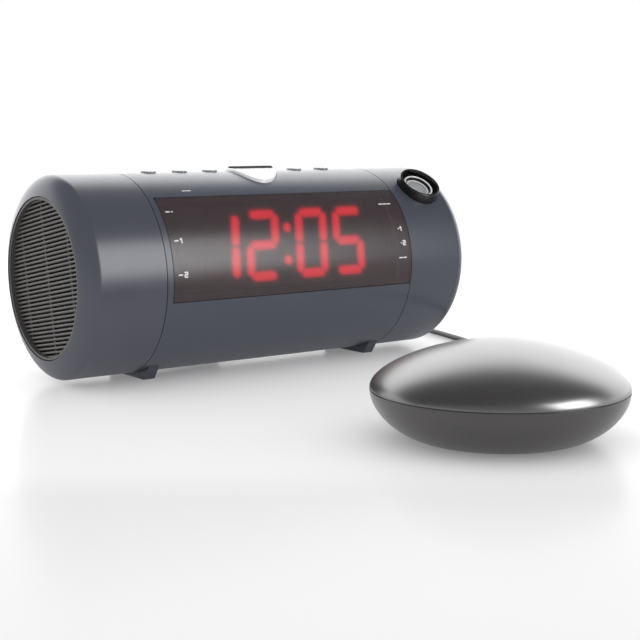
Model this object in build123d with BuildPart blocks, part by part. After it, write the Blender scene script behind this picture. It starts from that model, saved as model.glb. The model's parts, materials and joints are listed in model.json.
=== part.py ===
from build123d import *
from math import asin, atan, cos, degrees, pi, radians, sin, sqrt, tan
import os

# Bed shaker alarm clock: a cylinder clock with a projector head at its right end, a loudspeaker
# at its left end, and a lens-shaped shaker on a cord. Millimetres. X runs along the barrel, the
# display faces -Y, Z is up from the table. Angles round the barrel run from the top to the front.

os.makedirs("parts", exist_ok=True)

# Driving dimensions
barrel_radius = 50.0
body_length = 149.5         # of the barrel, from the left seam to the right one
left_cap_length = 41.5      # rim to left seam
head_length = 47.5          # right seam to the tip
wall = 2.5                  # of the clock's mouldings
table_gap = 2.0             # under the barrel
shaker_radius = 51.2
shaker_height = 39.6
shaker_seam_height = 20.4
shaker_wall = 2.0
shaker_spacing = 219.9      # barrel axis to the shaker's centre
shaker_offset = -25.4       # the shaker's centre along the barrel, from its middle
cord_diameter = 3.0

# Clearances
seam_gap = 0.4              # the fine line between the outer mouldings
fit_gap = 0.1               # round a piece that sits still in another
slide_gap = 0.3             # round a piece that moves
run_gap = 0.05              # round a shaft
cut = 1.0                   # overrun of a cut

# Places that follow from these
axis_z = barrel_radius + table_gap
axis_y = (shaker_spacing + shaker_radius - barrel_radius) / 2
shaker_y = axis_y - shaker_spacing
inner_radius = barrel_radius - wall
barrel_length = left_cap_length + body_length + head_length
rim_x = -barrel_length / 2
tip_x = barrel_length / 2
left_seam_x = rim_x + left_cap_length
right_seam_x = tip_x - head_length
barrel_axis = Axis((0, axis_y, axis_z), (1, 0, 0))
profile_plane = Plane(origin=(0, axis_y, axis_z), x_dir=(1, 0, 0), z_dir=(0, -1, 0))
top_turn = 90.0             # of the barrel's top, on a plane square to the barrel

# Inner ribs of the barrel: what sits between them is placed and sized by their span
rib_left_inset = 12.75      # from the left seam
rib_right_inset = 10.35     # from the right seam
rib_thickness = 2.5
rib_inner_radius = 30.0
rib_left_x = left_seam_x + rib_left_inset
rib_right_x = right_seam_x - rib_right_inset
rib_span = rib_right_x - rib_left_x
body_middle = (rib_left_x + rib_right_x) / 2


def across(x):
    """Plane square to the barrel at x: its first axis points back, its second up."""
    return Plane(origin=(x, axis_y, axis_z), x_dir=(0, 1, 0), z_dir=(1, 0, 0))


def facing(angle, height, x=0):
    """Plane that faces out of the barrel at an angle, at a height above the barrel's axis."""
    out = Vector(0, -sin(radians(angle)), cos(radians(angle)))
    place = Vector(x, axis_y, axis_z) + out * height
    return Plane(origin=place, x_dir=(1, 0, 0), z_dir=out)


def band(inner, outer, start, end):
    """Face between two radii and two angles, for a plane square to the barrel."""
    with BuildSketch() as sector:
        with BuildLine():
            near = CenterArc((0, 0), inner, top_turn + start, end - start)
            far = CenterArc((0, 0), outer, top_turn + start, end - start)
            Line(near @ 0, far @ 0)
            Line(near @ 1, far @ 1)
        make_face()
    return sector.sketch


def spread(length):
    """The angle that a length takes up round the barrel."""
    return degrees(length / barrel_radius)


# Left end cap: a rounded shoulder, the seat of the grille, the loudspeaker's baffle and a spigot
shoulder_depth = 9.5        # along the barrel
shoulder_drop = 24.3        # towards the axis
grille_radius = 39.5
grille_gap = 0.4            # the dark line round the grille
grille_recess = 2.3         # from the rim to the bars
grille_depth = 3.0
cloth_thickness = 0.6
baffle_thickness = 2.5
throat_radius = 34.0
spigot_length = 6.0
spigot_wall = 2.0
opening_radius = grille_radius + grille_gap
shoulder_centre_radius = barrel_radius - shoulder_drop
shoulder_start = degrees(asin((opening_radius - shoulder_centre_radius) / shoulder_drop))
shoulder_centre_x = rim_x + shoulder_depth * cos(radians(shoulder_start))
grille_front_x = rim_x + grille_recess
grille_back_x = grille_front_x + grille_depth
baffle_front_x = grille_back_x + cloth_thickness
baffle_back_x = baffle_front_x + baffle_thickness
spigot_radius = inner_radius - fit_gap

with BuildPart() as left_end_cap:
    with BuildSketch(profile_plane):
        with BuildLine():
            shoulder = EllipticalCenterArc(
                (shoulder_centre_x, shoulder_centre_radius),
                shoulder_depth,
                shoulder_drop,
                start_angle=180 - shoulder_start,
                arc_size=shoulder_start - 90,
            )
            Polyline(
                shoulder @ 1,
                (left_seam_x - seam_gap / 2, barrel_radius),
                (left_seam_x - seam_gap / 2, spigot_radius),
                (left_seam_x + spigot_length, spigot_radius),
                (left_seam_x + spigot_length, spigot_radius - spigot_wall),
                (left_seam_x - spigot_length, spigot_radius - spigot_wall),
                (left_seam_x - spigot_length, inner_radius),
                (baffle_back_x, inner_radius),
                (baffle_back_x, throat_radius),
                (baffle_front_x, throat_radius),
                (baffle_front_x, opening_radius),
                shoulder @ 0,
            )
        make_face()
    revolve(axis=barrel_axis)
    # Pilot holes for the loudspeaker's screws
    screw_radius = 1.3
    ear_radius = 41.0
    ear_count = 4
    with BuildSketch(across(baffle_back_x)):
        with PolarLocations(ear_radius, ear_count, start_angle=45):
            Circle(screw_radius)
    extrude(amount=-baffle_thickness / 2, mode=Mode.SUBTRACT)
left_end_cap.part.label = "left_end_cap"
export_step(left_end_cap.part, "parts/left_end_cap.step")

# Speaker grille: round-nosed louvre bars in a proud ring, tied by webs behind them
bar_count = 38
bar_pitch = 2.05
bar_height = 1.25
bar_depth = 2.2
bar_lean = 9.7              # the bars rise towards the front
ring_lead = 1.9             # the ring stands in front of the bars
grille_ring_width = 1.2
web_thickness = 1.6
web_spacing = 26.0
web_count = 3
bar_reach = grille_radius - grille_ring_width / 2
bar_plane = Plane(
    origin=(0, axis_y, axis_z),
    x_dir=(1, 0, 0),
    z_dir=(0, -cos(radians(bar_lean)), sin(radians(bar_lean))),
)

with BuildPart() as louvre_bars:
    with BuildSketch(bar_plane):
        with Locations((grille_front_x + bar_height / 2, 0)):
            with GridLocations(0, bar_pitch, 1, bar_count):
                Circle(bar_height / 2)
                Rectangle(
                    bar_depth - bar_height / 2,
                    bar_height,
                    align=(Align.MIN, Align.CENTER),
                )
    extrude(amount=grille_radius, both=True)
    with BuildSketch(across(grille_front_x - cut)):
        Circle(bar_reach)
    extrude(amount=grille_depth + cut, mode=Mode.INTERSECT)

with BuildPart() as speaker_grille:
    with BuildSketch(across(grille_front_x - ring_lead)):
        Circle(grille_radius)
        Circle(grille_radius - grille_ring_width, mode=Mode.SUBTRACT)
    extrude(amount=grille_depth + ring_lead)
    with BuildSketch(across(grille_front_x + bar_height)):
        with GridLocations(web_spacing, 0, web_count, 1):
            Rectangle(web_thickness, 2 * grille_radius, rotation=-bar_lean)
        Circle(bar_reach, mode=Mode.INTERSECT)
    extrude(amount=grille_depth - bar_height)
    add(louvre_bars.part)
speaker_grille.part.label = "speaker_grille"
export_step(speaker_grille.part, "parts/speaker_grille.step")

# Grille cloth: the black scrim behind the bars
with BuildPart() as grille_cloth:
    with BuildSketch(across(grille_back_x)):
        Circle(grille_radius - fit_gap)
    extrude(amount=cloth_thickness)
grille_cloth.part.label = "grille_cloth"
export_step(grille_cloth.part, "parts/grille_cloth.step")

# Loudspeaker basket: a flange with four ears, an open conical frame and its back plate
flange_radius = 38.5
flange_thickness = 1.5
flange_throat = 31.5
ear_size = 4.0
basket_depth = 18.0
basket_plate = 1.5
basket_back_radius = 20.0
basket_mouth_radius = 35.0
basket_wall = 1.8
coil_bore_radius = 11.5
basket_window_width = 16.0
basket_window_margin = 4.0
basket_front_x = baffle_back_x + flange_thickness
basket_back_x = basket_front_x + basket_depth

with BuildPart() as speaker_basket:
    with BuildSketch(profile_plane):
        with BuildLine():
            Polyline(
                (basket_front_x, basket_mouth_radius),
                (basket_back_x, basket_back_radius),
                (basket_back_x + basket_plate, basket_back_radius),
                (basket_back_x + basket_plate, coil_bore_radius),
                (basket_back_x, coil_bore_radius),
                (basket_back_x, basket_back_radius - basket_wall),
                (basket_front_x, basket_mouth_radius - basket_wall),
                close=True,
            )
        make_face()
    revolve(axis=barrel_axis)
    with BuildSketch(across(basket_front_x + basket_window_margin)):
        with PolarLocations(basket_mouth_radius, ear_count):
            Rectangle(barrel_radius, basket_window_width)
        Circle(coil_bore_radius, mode=Mode.SUBTRACT)
    extrude(amount=basket_depth - 2 * basket_window_margin, mode=Mode.SUBTRACT)
    with BuildSketch(across(baffle_back_x)):
        Circle(flange_radius)
        with PolarLocations(ear_radius, ear_count, start_angle=45):
            Circle(ear_size)
        Circle(flange_throat, mode=Mode.SUBTRACT)
        with PolarLocations(ear_radius, ear_count, start_angle=45):
            Circle(screw_radius + fit_gap, mode=Mode.SUBTRACT)
    extrude(amount=flange_thickness)
speaker_basket.part.label = "speaker_basket"
export_step(speaker_basket.part, "parts/speaker_basket.step")

# Loudspeaker magnet: a ring, a rear plate and a pole with the voice coil's gap round it
magnet_radius = 22.0
magnet_depth = 11.0
pole_radius = 9.2
pole_plate = 3.0
magnet_front_x = basket_back_x + basket_plate
magnet_back_x = magnet_front_x + magnet_depth

with BuildPart() as speaker_magnet:
    with BuildSketch(profile_plane):
        with BuildLine():
            Polyline(
                (magnet_front_x, coil_bore_radius),
                (magnet_front_x, magnet_radius),
                (magnet_back_x, magnet_radius),
                (magnet_back_x, magnet_radius - pole_plate),
                (magnet_back_x + pole_plate, magnet_radius - pole_plate),
                (magnet_back_x + pole_plate, 0),
                (magnet_front_x, 0),
                (magnet_front_x, pole_radius),
                (magnet_back_x, pole_radius),
                (magnet_back_x, coil_bore_radius),
                close=True,
            )
        make_face()
    revolve(axis=barrel_axis)
speaker_magnet.part.label = "speaker_magnet"
export_step(speaker_magnet.part, "parts/speaker_magnet.step")

# Loudspeaker cone: glued rim, half-roll surround, paper cone, dust cap and voice coil former
paper = 0.7
roll_radius = 2.3
cone_depth = 9.0
former_radius = 10.6
former_length = 13.0
dust_cap_rise = 3.0
rim_outside = throat_radius - fit_gap
roll_centre = rim_outside - 2 * paper - roll_radius
roll_inside = roll_centre - roll_radius
cone_base_x = baffle_back_x + cone_depth
dust_cap_curve = (former_radius**2 + dust_cap_rise**2) / (2 * dust_cap_rise)
dust_cap_angle = degrees(asin(former_radius / dust_cap_curve))
dust_cap_centre_x = cone_base_x - dust_cap_rise + dust_cap_curve

with BuildPart() as speaker_cone:
    with BuildSketch(profile_plane):
        with BuildLine():
            roll_front = CenterArc((baffle_back_x, roll_centre), roll_radius, 90, 180)
            roll_back = CenterArc((baffle_back_x, roll_centre), roll_radius - paper, 90, 180)
            Line(roll_front @ 0, roll_back @ 0)
            Line(roll_front @ 1, roll_back @ 1)
        make_face()
        with BuildLine():
            Polyline(
                (baffle_back_x - paper, rim_outside),
                (baffle_back_x, rim_outside),
                (baffle_back_x, roll_centre + roll_radius - paper),
                (baffle_back_x - paper, roll_centre + roll_radius - paper),
                close=True,
            )
        make_face()
        with BuildLine():
            Polyline(
                (baffle_back_x - paper, roll_inside),
                (baffle_back_x - paper, roll_inside + paper),
                (baffle_back_x, roll_inside + paper),
                (cone_base_x, former_radius + paper),
                (cone_base_x + former_length, former_radius + paper),
                (cone_base_x + former_length, former_radius),
                (cone_base_x, former_radius),
                close=True,
            )
        make_face()
        with BuildLine():
            cap_front = CenterArc(
                (dust_cap_centre_x, 0), dust_cap_curve, 180 - dust_cap_angle, dust_cap_angle
            )
            cap_back = CenterArc(
                (dust_cap_centre_x + paper, 0), dust_cap_curve, 180 - dust_cap_angle, dust_cap_angle
            )
            Line(cap_front @ 0, cap_back @ 0)
            Line(cap_front @ 1, cap_back @ 1)
        make_face()
    revolve(axis=barrel_axis)
speaker_cone.part.label = "speaker_cone"
export_step(speaker_cone.part, "parts/speaker_cone.step")

# Display: the smoked window round the front and the flat seven-segment block behind it
window_top_angle = 39.6
window_bottom_angle = 102.1
window_left_inset = 3.7     # from the left seam
window_thickness = 1.5
window_sink = 0.05          # under the barrel's surface
window_ledge = 3.0
window_end_ledge = 6.0
display_angle = 71.0
display_height = 41.5       # the block's face above the barrel's axis
block_height = 42.0
block_thickness = 9.0
board_thickness = 1.6
window_left_x = left_seam_x + window_left_inset
window_outer = barrel_radius - window_sink
window_inner = window_outer - window_thickness
board_length = rib_span - 2 * fit_gap

with BuildPart() as display_window:
    with BuildSketch(across(window_left_x)):
        add(band(window_inner, window_outer, window_top_angle, window_bottom_angle))
    extrude(amount=right_seam_x - seam_gap / 2 - window_left_x)
    window_corner = 2.0
    corners = display_window.edges().filter_by(
        lambda edge: edge.center().X < window_left_x + cut and edge.length < wall
    )
    fillet(corners, radius=window_corner)
display_window.part.label = "display_window"
export_step(display_window.part, "parts/display_window.step")

with BuildPart() as display_block:
    with BuildSketch(facing(display_angle, display_height, body_middle)):
        Rectangle(board_length, block_height)
    extrude(amount=-block_thickness)
display_block.part.label = "display_block"
export_step(display_block.part, "parts/display_block.step")

with BuildPart() as display_board:
    with BuildSketch(facing(display_angle, display_height - block_thickness, body_middle)):
        Rectangle(board_length, block_height)
    extrude(amount=-board_thickness)
display_board.part.label = "display_board"
export_step(display_board.part, "parts/display_board.step")

# Segments: each digit is seven bars that lean, and the colon two dots
digit_height = 36.6
digit_width = 0.1582 * rib_span
stroke = 4.8
segment_gap = 0.5
segment_thickness = 0.5
digit_lean = 10.0
digit_pitch = 0.1883 * rib_span
colon_room = 0.0498 * rib_span  # the extra pitch across the colon
colon_rise = 8.6
dot_radius = 2.2
bevel = stroke / 2
lit_by_digit = ("bc", "abged", "abcdef", "afgcd")


def lean(points, middle):
    """The points, leaning with the digit, about its middle along the block."""
    return [(middle + x + y * tan(radians(digit_lean)), y) for x, y in points]


def bar_points(name):
    """Corners of one bar of an upright digit, about the digit's middle."""
    side = (digit_width - stroke) / 2
    level = (digit_height - stroke) / 2
    half = stroke / 2
    if name in "adg":
        y = {"a": level, "d": -level, "g": 0}[name]
        end = side - segment_gap
        return [
            (-end, y),
            (-end + bevel, y + half),
            (end - bevel, y + half),
            (end, y),
            (end - bevel, y - half),
            (-end + bevel, y - half),
        ]
    x = side if name in "bc" else -side
    low, high = (segment_gap, level - segment_gap)
    if name in "ce":
        low, high = (-high, -low)
    return [
        (x, low),
        (x + half, low + bevel),
        (x + half, high - bevel),
        (x, high),
        (x - half, high - bevel),
        (x - half, low + bevel),
    ]


def digit_middle(index):
    """Where a digit's middle lies along the block, from the block's middle."""
    step = index - (len(lit_by_digit) - 1) / 2
    return step * digit_pitch + (colon_room / 2 if step > 0 else -colon_room / 2)


with BuildPart() as lit_segments:
    with BuildSketch(facing(display_angle, display_height, body_middle)):
        for index, lit in enumerate(lit_by_digit):
            for name in lit:
                Polygon(*lean(bar_points(name), digit_middle(index)), align=None)
        with Locations(*lean([(0, colon_rise), (0, -colon_rise)], 0)):
            Circle(dot_radius)
    extrude(amount=segment_thickness)
lit_segments.part.label = "lit_segments"
export_step(lit_segments.part, "parts/lit_segments.step")

with BuildPart() as dark_segments:
    with BuildSketch(facing(display_angle, display_height, body_middle)):
        for index, lit in enumerate(lit_by_digit):
            for name in "abcdefg":
                if name not in lit:
                    Polygon(*lean(bar_points(name), digit_middle(index)), align=None)
    extrude(amount=segment_thickness)
dark_segments.part.label = "dark_segments"
export_step(dark_segments.part, "parts/dark_segments.step")

# Buttons on top: five small ovals and the askew oval snooze bar, on switches on a board
button_width = 0.0506 * rib_span
button_length = 9.0
button_proud = 0.8
button_travel = 0.8
button_pitch = 0.1424 * rib_span
button_inset = 5.5          # the first button's middle, from the left rib
button_lead = 0.2516 * rib_span  # the right group's first button, from the barrel's middle
snooze_x = body_middle + 0.0253 * rib_span
snooze_across = 0.1028 * rib_span
snooze_along = 24.3
snooze_turn = -19.0
snooze_proud = 1.5
snooze_travel = 1.5
snooze_edge = 0.7
cap_depth = 4.0             # from the barrel's surface to the underside of a cap
lip_width = 1.2             # the lip under the barrel's wall that keeps a cap in
lip_thickness = 1.6
stem_radius = 1.6
button_board_height = 33.0
button_board_width = 44.0
switch_size = 6.0
switch_height = 3.5
button_places = [
    rib_left_x + button_inset,
    rib_left_x + button_inset + button_pitch,
    rib_left_x + button_inset + 2 * button_pitch,
    body_middle + button_lead,
    body_middle + button_lead + button_pitch,
]
lip_radius = inner_radius - slide_gap
switch_top = button_board_height + board_thickness + switch_height


def button_outline(grow=0):
    """Obround of a small button, grown by a clearance or a lip."""
    return SlotOverall(button_length + 2 * grow, button_width + 2 * grow, rotation=90)


def snooze_outline(grow=0):
    """Oval of the snooze bar, grown by a clearance or a lip."""
    return Ellipse(snooze_across + grow, snooze_along + grow, rotation=snooze_turn)


with BuildPart() as snooze_lip:
    with BuildSketch(Plane.XY.offset(axis_z)):
        with Locations((snooze_x, axis_y)):
            snooze_outline(lip_width)
    extrude(amount=barrel_radius)
    with BuildSketch(across(-barrel_radius)):
        Circle(lip_radius)
        Circle(lip_radius - lip_thickness, mode=Mode.SUBTRACT)
    extrude(amount=2 * barrel_radius, mode=Mode.INTERSECT)

with BuildPart() as snooze_bar:
    with BuildSketch(Plane.XY.offset(axis_z)):
        with Locations((snooze_x, axis_y)):
            snooze_outline()
    extrude(amount=2 * barrel_radius)
    with BuildSketch(across(-barrel_radius)):
        Circle(barrel_radius + snooze_proud)
        Circle(barrel_radius - cap_depth, mode=Mode.SUBTRACT)
    extrude(amount=2 * barrel_radius, mode=Mode.INTERSECT)
    crest = snooze_bar.faces().sort_by(Axis.Z)[-1]
    fillet(crest.edges(), radius=snooze_edge)
    add(snooze_lip.part)
    with BuildSketch(Plane.XY.offset(axis_z + switch_top + snooze_travel + slide_gap)):
        with Locations((snooze_x, axis_y)):
            Circle(stem_radius)
    extrude(until=Until.NEXT)
snooze_bar.part.label = "snooze_bar"
export_step(snooze_bar.part, "parts/snooze_bar.step")

# Snooze grip: the dark strip of ridges along the snooze bar's crest
grip_length = 1.83 * snooze_across
grip_shift = 0.5            # its middle from the snooze bar's
grip_angle = 4.0
grip_base = 0.4
ridge_count = 12
ridge_pitch = grip_length / ridge_count
ridge_width = ridge_pitch / 2
ridge_rise = 1.0

with BuildPart() as snooze_grip:
    seat = barrel_radius + snooze_proud
    with BuildSketch(across(snooze_x + grip_shift - grip_length / 2)):
        add(band(seat, seat + grip_base, -grip_angle, grip_angle))
    extrude(amount=grip_length)
    for index in range(ridge_count):
        ridge_x = snooze_x + grip_shift + (index - (ridge_count - 1) / 2) * ridge_pitch
        with BuildSketch(across(ridge_x - ridge_width / 2)):
            add(band(seat, seat + ridge_rise, -grip_angle, grip_angle))
        extrude(amount=ridge_width)
snooze_grip.part.label = "snooze_grip"
export_step(snooze_grip.part, "parts/snooze_grip.step")

for number, button_x in enumerate(button_places, start=1):
    with BuildPart() as button_lip:
        with BuildSketch(Plane.XY.offset(axis_z)):
            with Locations((button_x, axis_y)):
                button_outline(lip_width)
        extrude(amount=barrel_radius)
        with BuildSketch(across(button_x - button_length)):
            Circle(lip_radius)
            Circle(lip_radius - lip_thickness, mode=Mode.SUBTRACT)
        extrude(amount=2 * button_length, mode=Mode.INTERSECT)
    with BuildPart() as top_button:
        with BuildSketch(Plane.XY.offset(axis_z)):
            with Locations((button_x, axis_y)):
                button_outline()
        extrude(amount=2 * barrel_radius)
        with BuildSketch(across(button_x - button_length)):
            Circle(barrel_radius + button_proud)
            Circle(barrel_radius - cap_depth, mode=Mode.SUBTRACT)
        extrude(amount=2 * button_length, mode=Mode.INTERSECT)
        add(button_lip.part)
        with BuildSketch(Plane.XY.offset(axis_z + switch_top + button_travel + slide_gap)):
            with Locations((button_x, axis_y)):
                Circle(stem_radius)
        extrude(until=Until.NEXT)
    top_button.part.label = f"top_button_{number}"
    export_step(top_button.part, f"parts/top_button_{number}.step")

with BuildPart() as button_board:
    with BuildSketch(Plane.XY.offset(axis_z + button_board_height)):
        with Locations((body_middle, axis_y)):
            Rectangle(board_length, button_board_width)
    extrude(amount=board_thickness)
button_board.part.label = "button_board"
export_step(button_board.part, "parts/button_board.step")

with BuildPart() as tact_switches:
    with BuildSketch(Plane.XY.offset(axis_z + button_board_height + board_thickness)):
        with Locations(*[(x, axis_y) for x in button_places + [snooze_x]]):
            Rectangle(switch_size, switch_size)
    extrude(amount=switch_height)
tact_switches.part.label = "tact_switches"
export_step(tact_switches.part, "parts/tact_switches.step")

# Main board, upright behind the display
main_board_setback = 8.0    # in front of the barrel's axis
main_board_low = -41.0
main_board_high = 29.0

with BuildPart() as main_board:
    with BuildSketch(across(rib_left_x + fit_gap)):
        with Locations((-main_board_setback, (main_board_low + main_board_high) / 2)):
            Rectangle(board_thickness, main_board_high - main_board_low)
    extrude(amount=board_length)
main_board.part.label = "main_board"
export_step(main_board.part, "parts/main_board.step")

# Rear panel, with the jacks in a shallow flat-floored bay, and the board behind them
panel_top_angle = -58.0
panel_bottom_angle = -104.0
panel_margin = 5.2          # from a rib to the panel's end
panel_ledge = 2.5
bay_margin = 6.0            # from the panel's end to the bay's
panel_width = rib_span - 2 * panel_margin
bay_width = panel_width - 2 * bay_margin
bay_height = 22.0
bay_rise = 6.0              # the bay's middle above the barrel's axis
bay_floor = 46.3            # behind the barrel's axis
bay_plate = 1.8
jack_board_y = 28.9         # behind the barrel's axis
jack_board_low = -4.0
jack_board_high = 20.0
jack_bore_radius = 1.8
jack_bore_depth = 14.0
jack_nose_radius = 3.4
jack_width = 8.0
jack_height = 9.0
dc_bore_radius = 3.2
dc_pin_radius = 1.05
dc_width = 10.0
dc_height = 11.0
dc_bore_depth = 11.0
dc_jack_x = body_middle - 0.4058 * bay_width
aux_jack_x = body_middle - 0.2135 * bay_width
volume_x = body_middle - 0.0212 * bay_width
dimmer_x = body_middle + 0.1904 * bay_width
shaker_jack_x = body_middle + 0.4404 * bay_width
wheel_radius = 6.6
wheel_thickness = 3.4
wheel_bore = 1.5
wheel_proud = 2.2           # out of the bay's floor
wheel_notches = 20
notch_radius = 0.5
slider_width = 3.0
slider_height = 2.6
slider_proud = 2.0
slider_travel = 3.0
switch_body_width = 11.0
switch_body_height = 6.5
jack_front_y = bay_floor - bay_plate
jack_depth = jack_front_y - jack_board_y - board_thickness
wheel_y = bay_floor + wheel_proud - wheel_radius
board_face_y = jack_board_y + board_thickness
rear_plane_x_dir = (-1, 0, 0)


def rearward(y, x=0):
    """Plane that faces back at a distance behind the barrel's axis: its second axis points up."""
    return Plane(origin=(x, axis_y + y, axis_z + bay_rise), x_dir=rear_plane_x_dir, z_dir=(0, 1, 0))


with BuildPart() as rear_panel:
    with BuildSketch(across(body_middle - panel_width / 2)):
        add(band(window_inner, window_outer, panel_bottom_angle, panel_top_angle))
    extrude(amount=panel_width)
    with BuildSketch(rearward(jack_front_y, body_middle)):
        Rectangle(bay_width + 2 * bay_plate, bay_height + 2 * bay_plate)
    extrude(amount=barrel_radius - jack_front_y)
    with BuildSketch(across(body_middle - panel_width / 2)):
        Circle(window_outer)
    extrude(amount=panel_width, mode=Mode.INTERSECT)
    with BuildSketch(rearward(bay_floor, body_middle)):
        RectangleRounded(bay_width, bay_height, radius=panel_ledge)
    extrude(amount=barrel_radius, mode=Mode.SUBTRACT)
    with BuildSketch(rearward(jack_front_y)):
        with Locations((-aux_jack_x, 0), (-shaker_jack_x, 0)):
            Circle(jack_nose_radius + fit_gap)
        with Locations((-dc_jack_x, 0)):
            Circle(dc_bore_radius + cut)
        with Locations((-volume_x, 0)):
            wheel_reach = sqrt(wheel_radius**2 - (wheel_radius - wheel_proud - bay_plate) ** 2)
            Rectangle(2 * (wheel_reach + slide_gap), wheel_thickness + 2 * slide_gap)
        with Locations((-dimmer_x - slider_travel / 2, 0)):
            Rectangle(slider_width + slider_travel + 2 * slide_gap, slider_height + 2 * slide_gap)
    extrude(amount=bay_plate + cut, mode=Mode.SUBTRACT)
rear_panel.part.label = "rear_panel"
export_step(rear_panel.part, "parts/rear_panel.step")

with BuildPart() as jack_board:
    with BuildSketch(across(rib_left_x + fit_gap)):
        with Locations((jack_board_y, (jack_board_low + jack_board_high) / 2)):
            Rectangle(
                board_thickness,
                jack_board_high - jack_board_low,
                align=(Align.MIN, Align.CENTER),
            )
    extrude(amount=board_length)
jack_board.part.label = "jack_board"
export_step(jack_board.part, "parts/jack_board.step")

with BuildPart() as aux_jack:
    with BuildSketch(rearward(board_face_y, aux_jack_x)):
        Rectangle(jack_width, jack_height)
    extrude(amount=jack_depth)
    with BuildSketch(rearward(jack_front_y, aux_jack_x)):
        Circle(jack_nose_radius)
    extrude(amount=bay_plate)
    with BuildSketch(rearward(bay_floor, aux_jack_x)):
        Circle(jack_bore_radius)
    extrude(amount=-min(jack_bore_depth, jack_depth), mode=Mode.SUBTRACT)
aux_jack.part.label = "aux_jack"
export_step(aux_jack.part, "parts/aux_jack.step")

with BuildPart() as shaker_jack:
    with BuildSketch(rearward(board_face_y, shaker_jack_x)):
        Rectangle(jack_width, jack_height)
    extrude(amount=jack_depth)
    with BuildSketch(rearward(jack_front_y, shaker_jack_x)):
        Circle(jack_nose_radius)
    extrude(amount=bay_plate)
    with BuildSketch(rearward(bay_floor, shaker_jack_x)):
        Circle(jack_bore_radius)
    extrude(amount=-min(jack_bore_depth, jack_depth), mode=Mode.SUBTRACT)
shaker_jack.part.label = "shaker_jack"
export_step(shaker_jack.part, "parts/shaker_jack.step")

with BuildPart() as dc_inlet:
    with BuildSketch(rearward(board_face_y, dc_jack_x)):
        Rectangle(dc_width, dc_height)
    extrude(amount=jack_depth)
    with BuildSketch(rearward(jack_front_y, dc_jack_x)):
        Circle(dc_bore_radius)
        Circle(dc_pin_radius, mode=Mode.SUBTRACT)
    extrude(amount=-min(dc_bore_depth, jack_depth - wall), mode=Mode.SUBTRACT)
dc_inlet.part.label = "dc_inlet"
export_step(dc_inlet.part, "parts/dc_inlet.step")

# Volume wheel on its control, and the dimmer slider in its switch
control_height = 6.0
control_width = 11.0
shaft_radius = wheel_bore - run_gap

with BuildPart() as volume_control:
    with BuildSketch(across(volume_x - control_width / 2)):
        with Locations((board_face_y, bay_rise - wheel_thickness / 2 - slide_gap)):
            Rectangle(jack_depth - slide_gap, control_height, align=(Align.MIN, Align.MAX))
    extrude(amount=control_width)
    with BuildSketch(Plane.XY.offset(axis_z + bay_rise - wheel_thickness / 2 - slide_gap)):
        with Locations((volume_x, axis_y + wheel_y)):
            Circle(shaft_radius)
    extrude(amount=wheel_thickness + slide_gap)
volume_control.part.label = "volume_control"
export_step(volume_control.part, "parts/volume_control.step")

with BuildPart() as volume_wheel:
    with BuildSketch(Plane.XY.offset(axis_z + bay_rise - wheel_thickness / 2)):
        with Locations((volume_x, axis_y + wheel_y)):
            Circle(wheel_radius)
            with PolarLocations(wheel_radius, wheel_notches):
                Circle(notch_radius, mode=Mode.SUBTRACT)
            Circle(wheel_bore, mode=Mode.SUBTRACT)
    extrude(amount=wheel_thickness)
volume_wheel.part.label = "volume_wheel"
export_step(volume_wheel.part, "parts/volume_wheel.step")

with BuildPart() as dimmer_switch:
    with BuildSketch(rearward(board_face_y, dimmer_x + slider_travel / 2)):
        Rectangle(switch_body_width, switch_body_height)
    extrude(amount=jack_depth - slide_gap)
    with BuildSketch(rearward(jack_front_y - slide_gap, dimmer_x + slider_travel / 2)):
        Rectangle(slider_width + slider_travel + 2 * slide_gap, slider_height + 2 * slide_gap)
    extrude(amount=-slider_proud, mode=Mode.SUBTRACT)
dimmer_switch.part.label = "dimmer_switch"
export_step(dimmer_switch.part, "parts/dimmer_switch.step")

with BuildPart() as dimmer_slider:
    with BuildSketch(rearward(jack_front_y - slider_proud, dimmer_x)):
        Rectangle(slider_width, slider_height)
    extrude(amount=2 * slider_proud + bay_plate)
dimmer_slider.part.label = "dimmer_slider"
export_step(dimmer_slider.part, "parts/dimmer_slider.step")

# Backup battery in a pocket behind a door that lifts off, low at the back
battery_length = 48.5
battery_width = 26.5
battery_thickness = 17.5
door_angle = -135.0
pocket_wall = 2.0
pocket_room = 0.5           # round the battery
pocket_floor_height = 24.0
door_ledge = 2.5
pocket_length = battery_length + 2 * pocket_room
pocket_width = battery_width + 2 * pocket_room
door_length = pocket_length + 2 * door_ledge
door_half_angle = degrees(asin((pocket_width / 2 + door_ledge) / window_outer))

with BuildPart() as backup_battery:
    with BuildSketch(facing(door_angle, pocket_floor_height + pocket_wall, body_middle)):
        Rectangle(battery_length, battery_width)
    extrude(amount=battery_thickness)
backup_battery.part.label = "backup_battery"
export_step(backup_battery.part, "parts/backup_battery.step")

with BuildPart() as battery_door:
    with BuildSketch(across(body_middle - door_length / 2)):
        add(band(window_inner, window_outer, door_angle - door_half_angle, door_angle + door_half_angle))
    extrude(amount=door_length)
battery_door.part.label = "battery_door"
export_step(battery_door.part, "parts/battery_door.step")

# Barrel shell: the tube with its ribs, battery pocket, window notch and openings
recess_radius = window_inner - fit_gap

with BuildPart() as battery_pocket:
    with BuildSketch(facing(door_angle, pocket_floor_height, body_middle)):
        Rectangle(pocket_length + 2 * pocket_wall, pocket_width + 2 * pocket_wall)
    extrude(amount=barrel_radius)
    with BuildSketch(across(left_seam_x)):
        Circle(inner_radius + fit_gap)
    extrude(amount=right_seam_x - left_seam_x, mode=Mode.INTERSECT)

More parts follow.
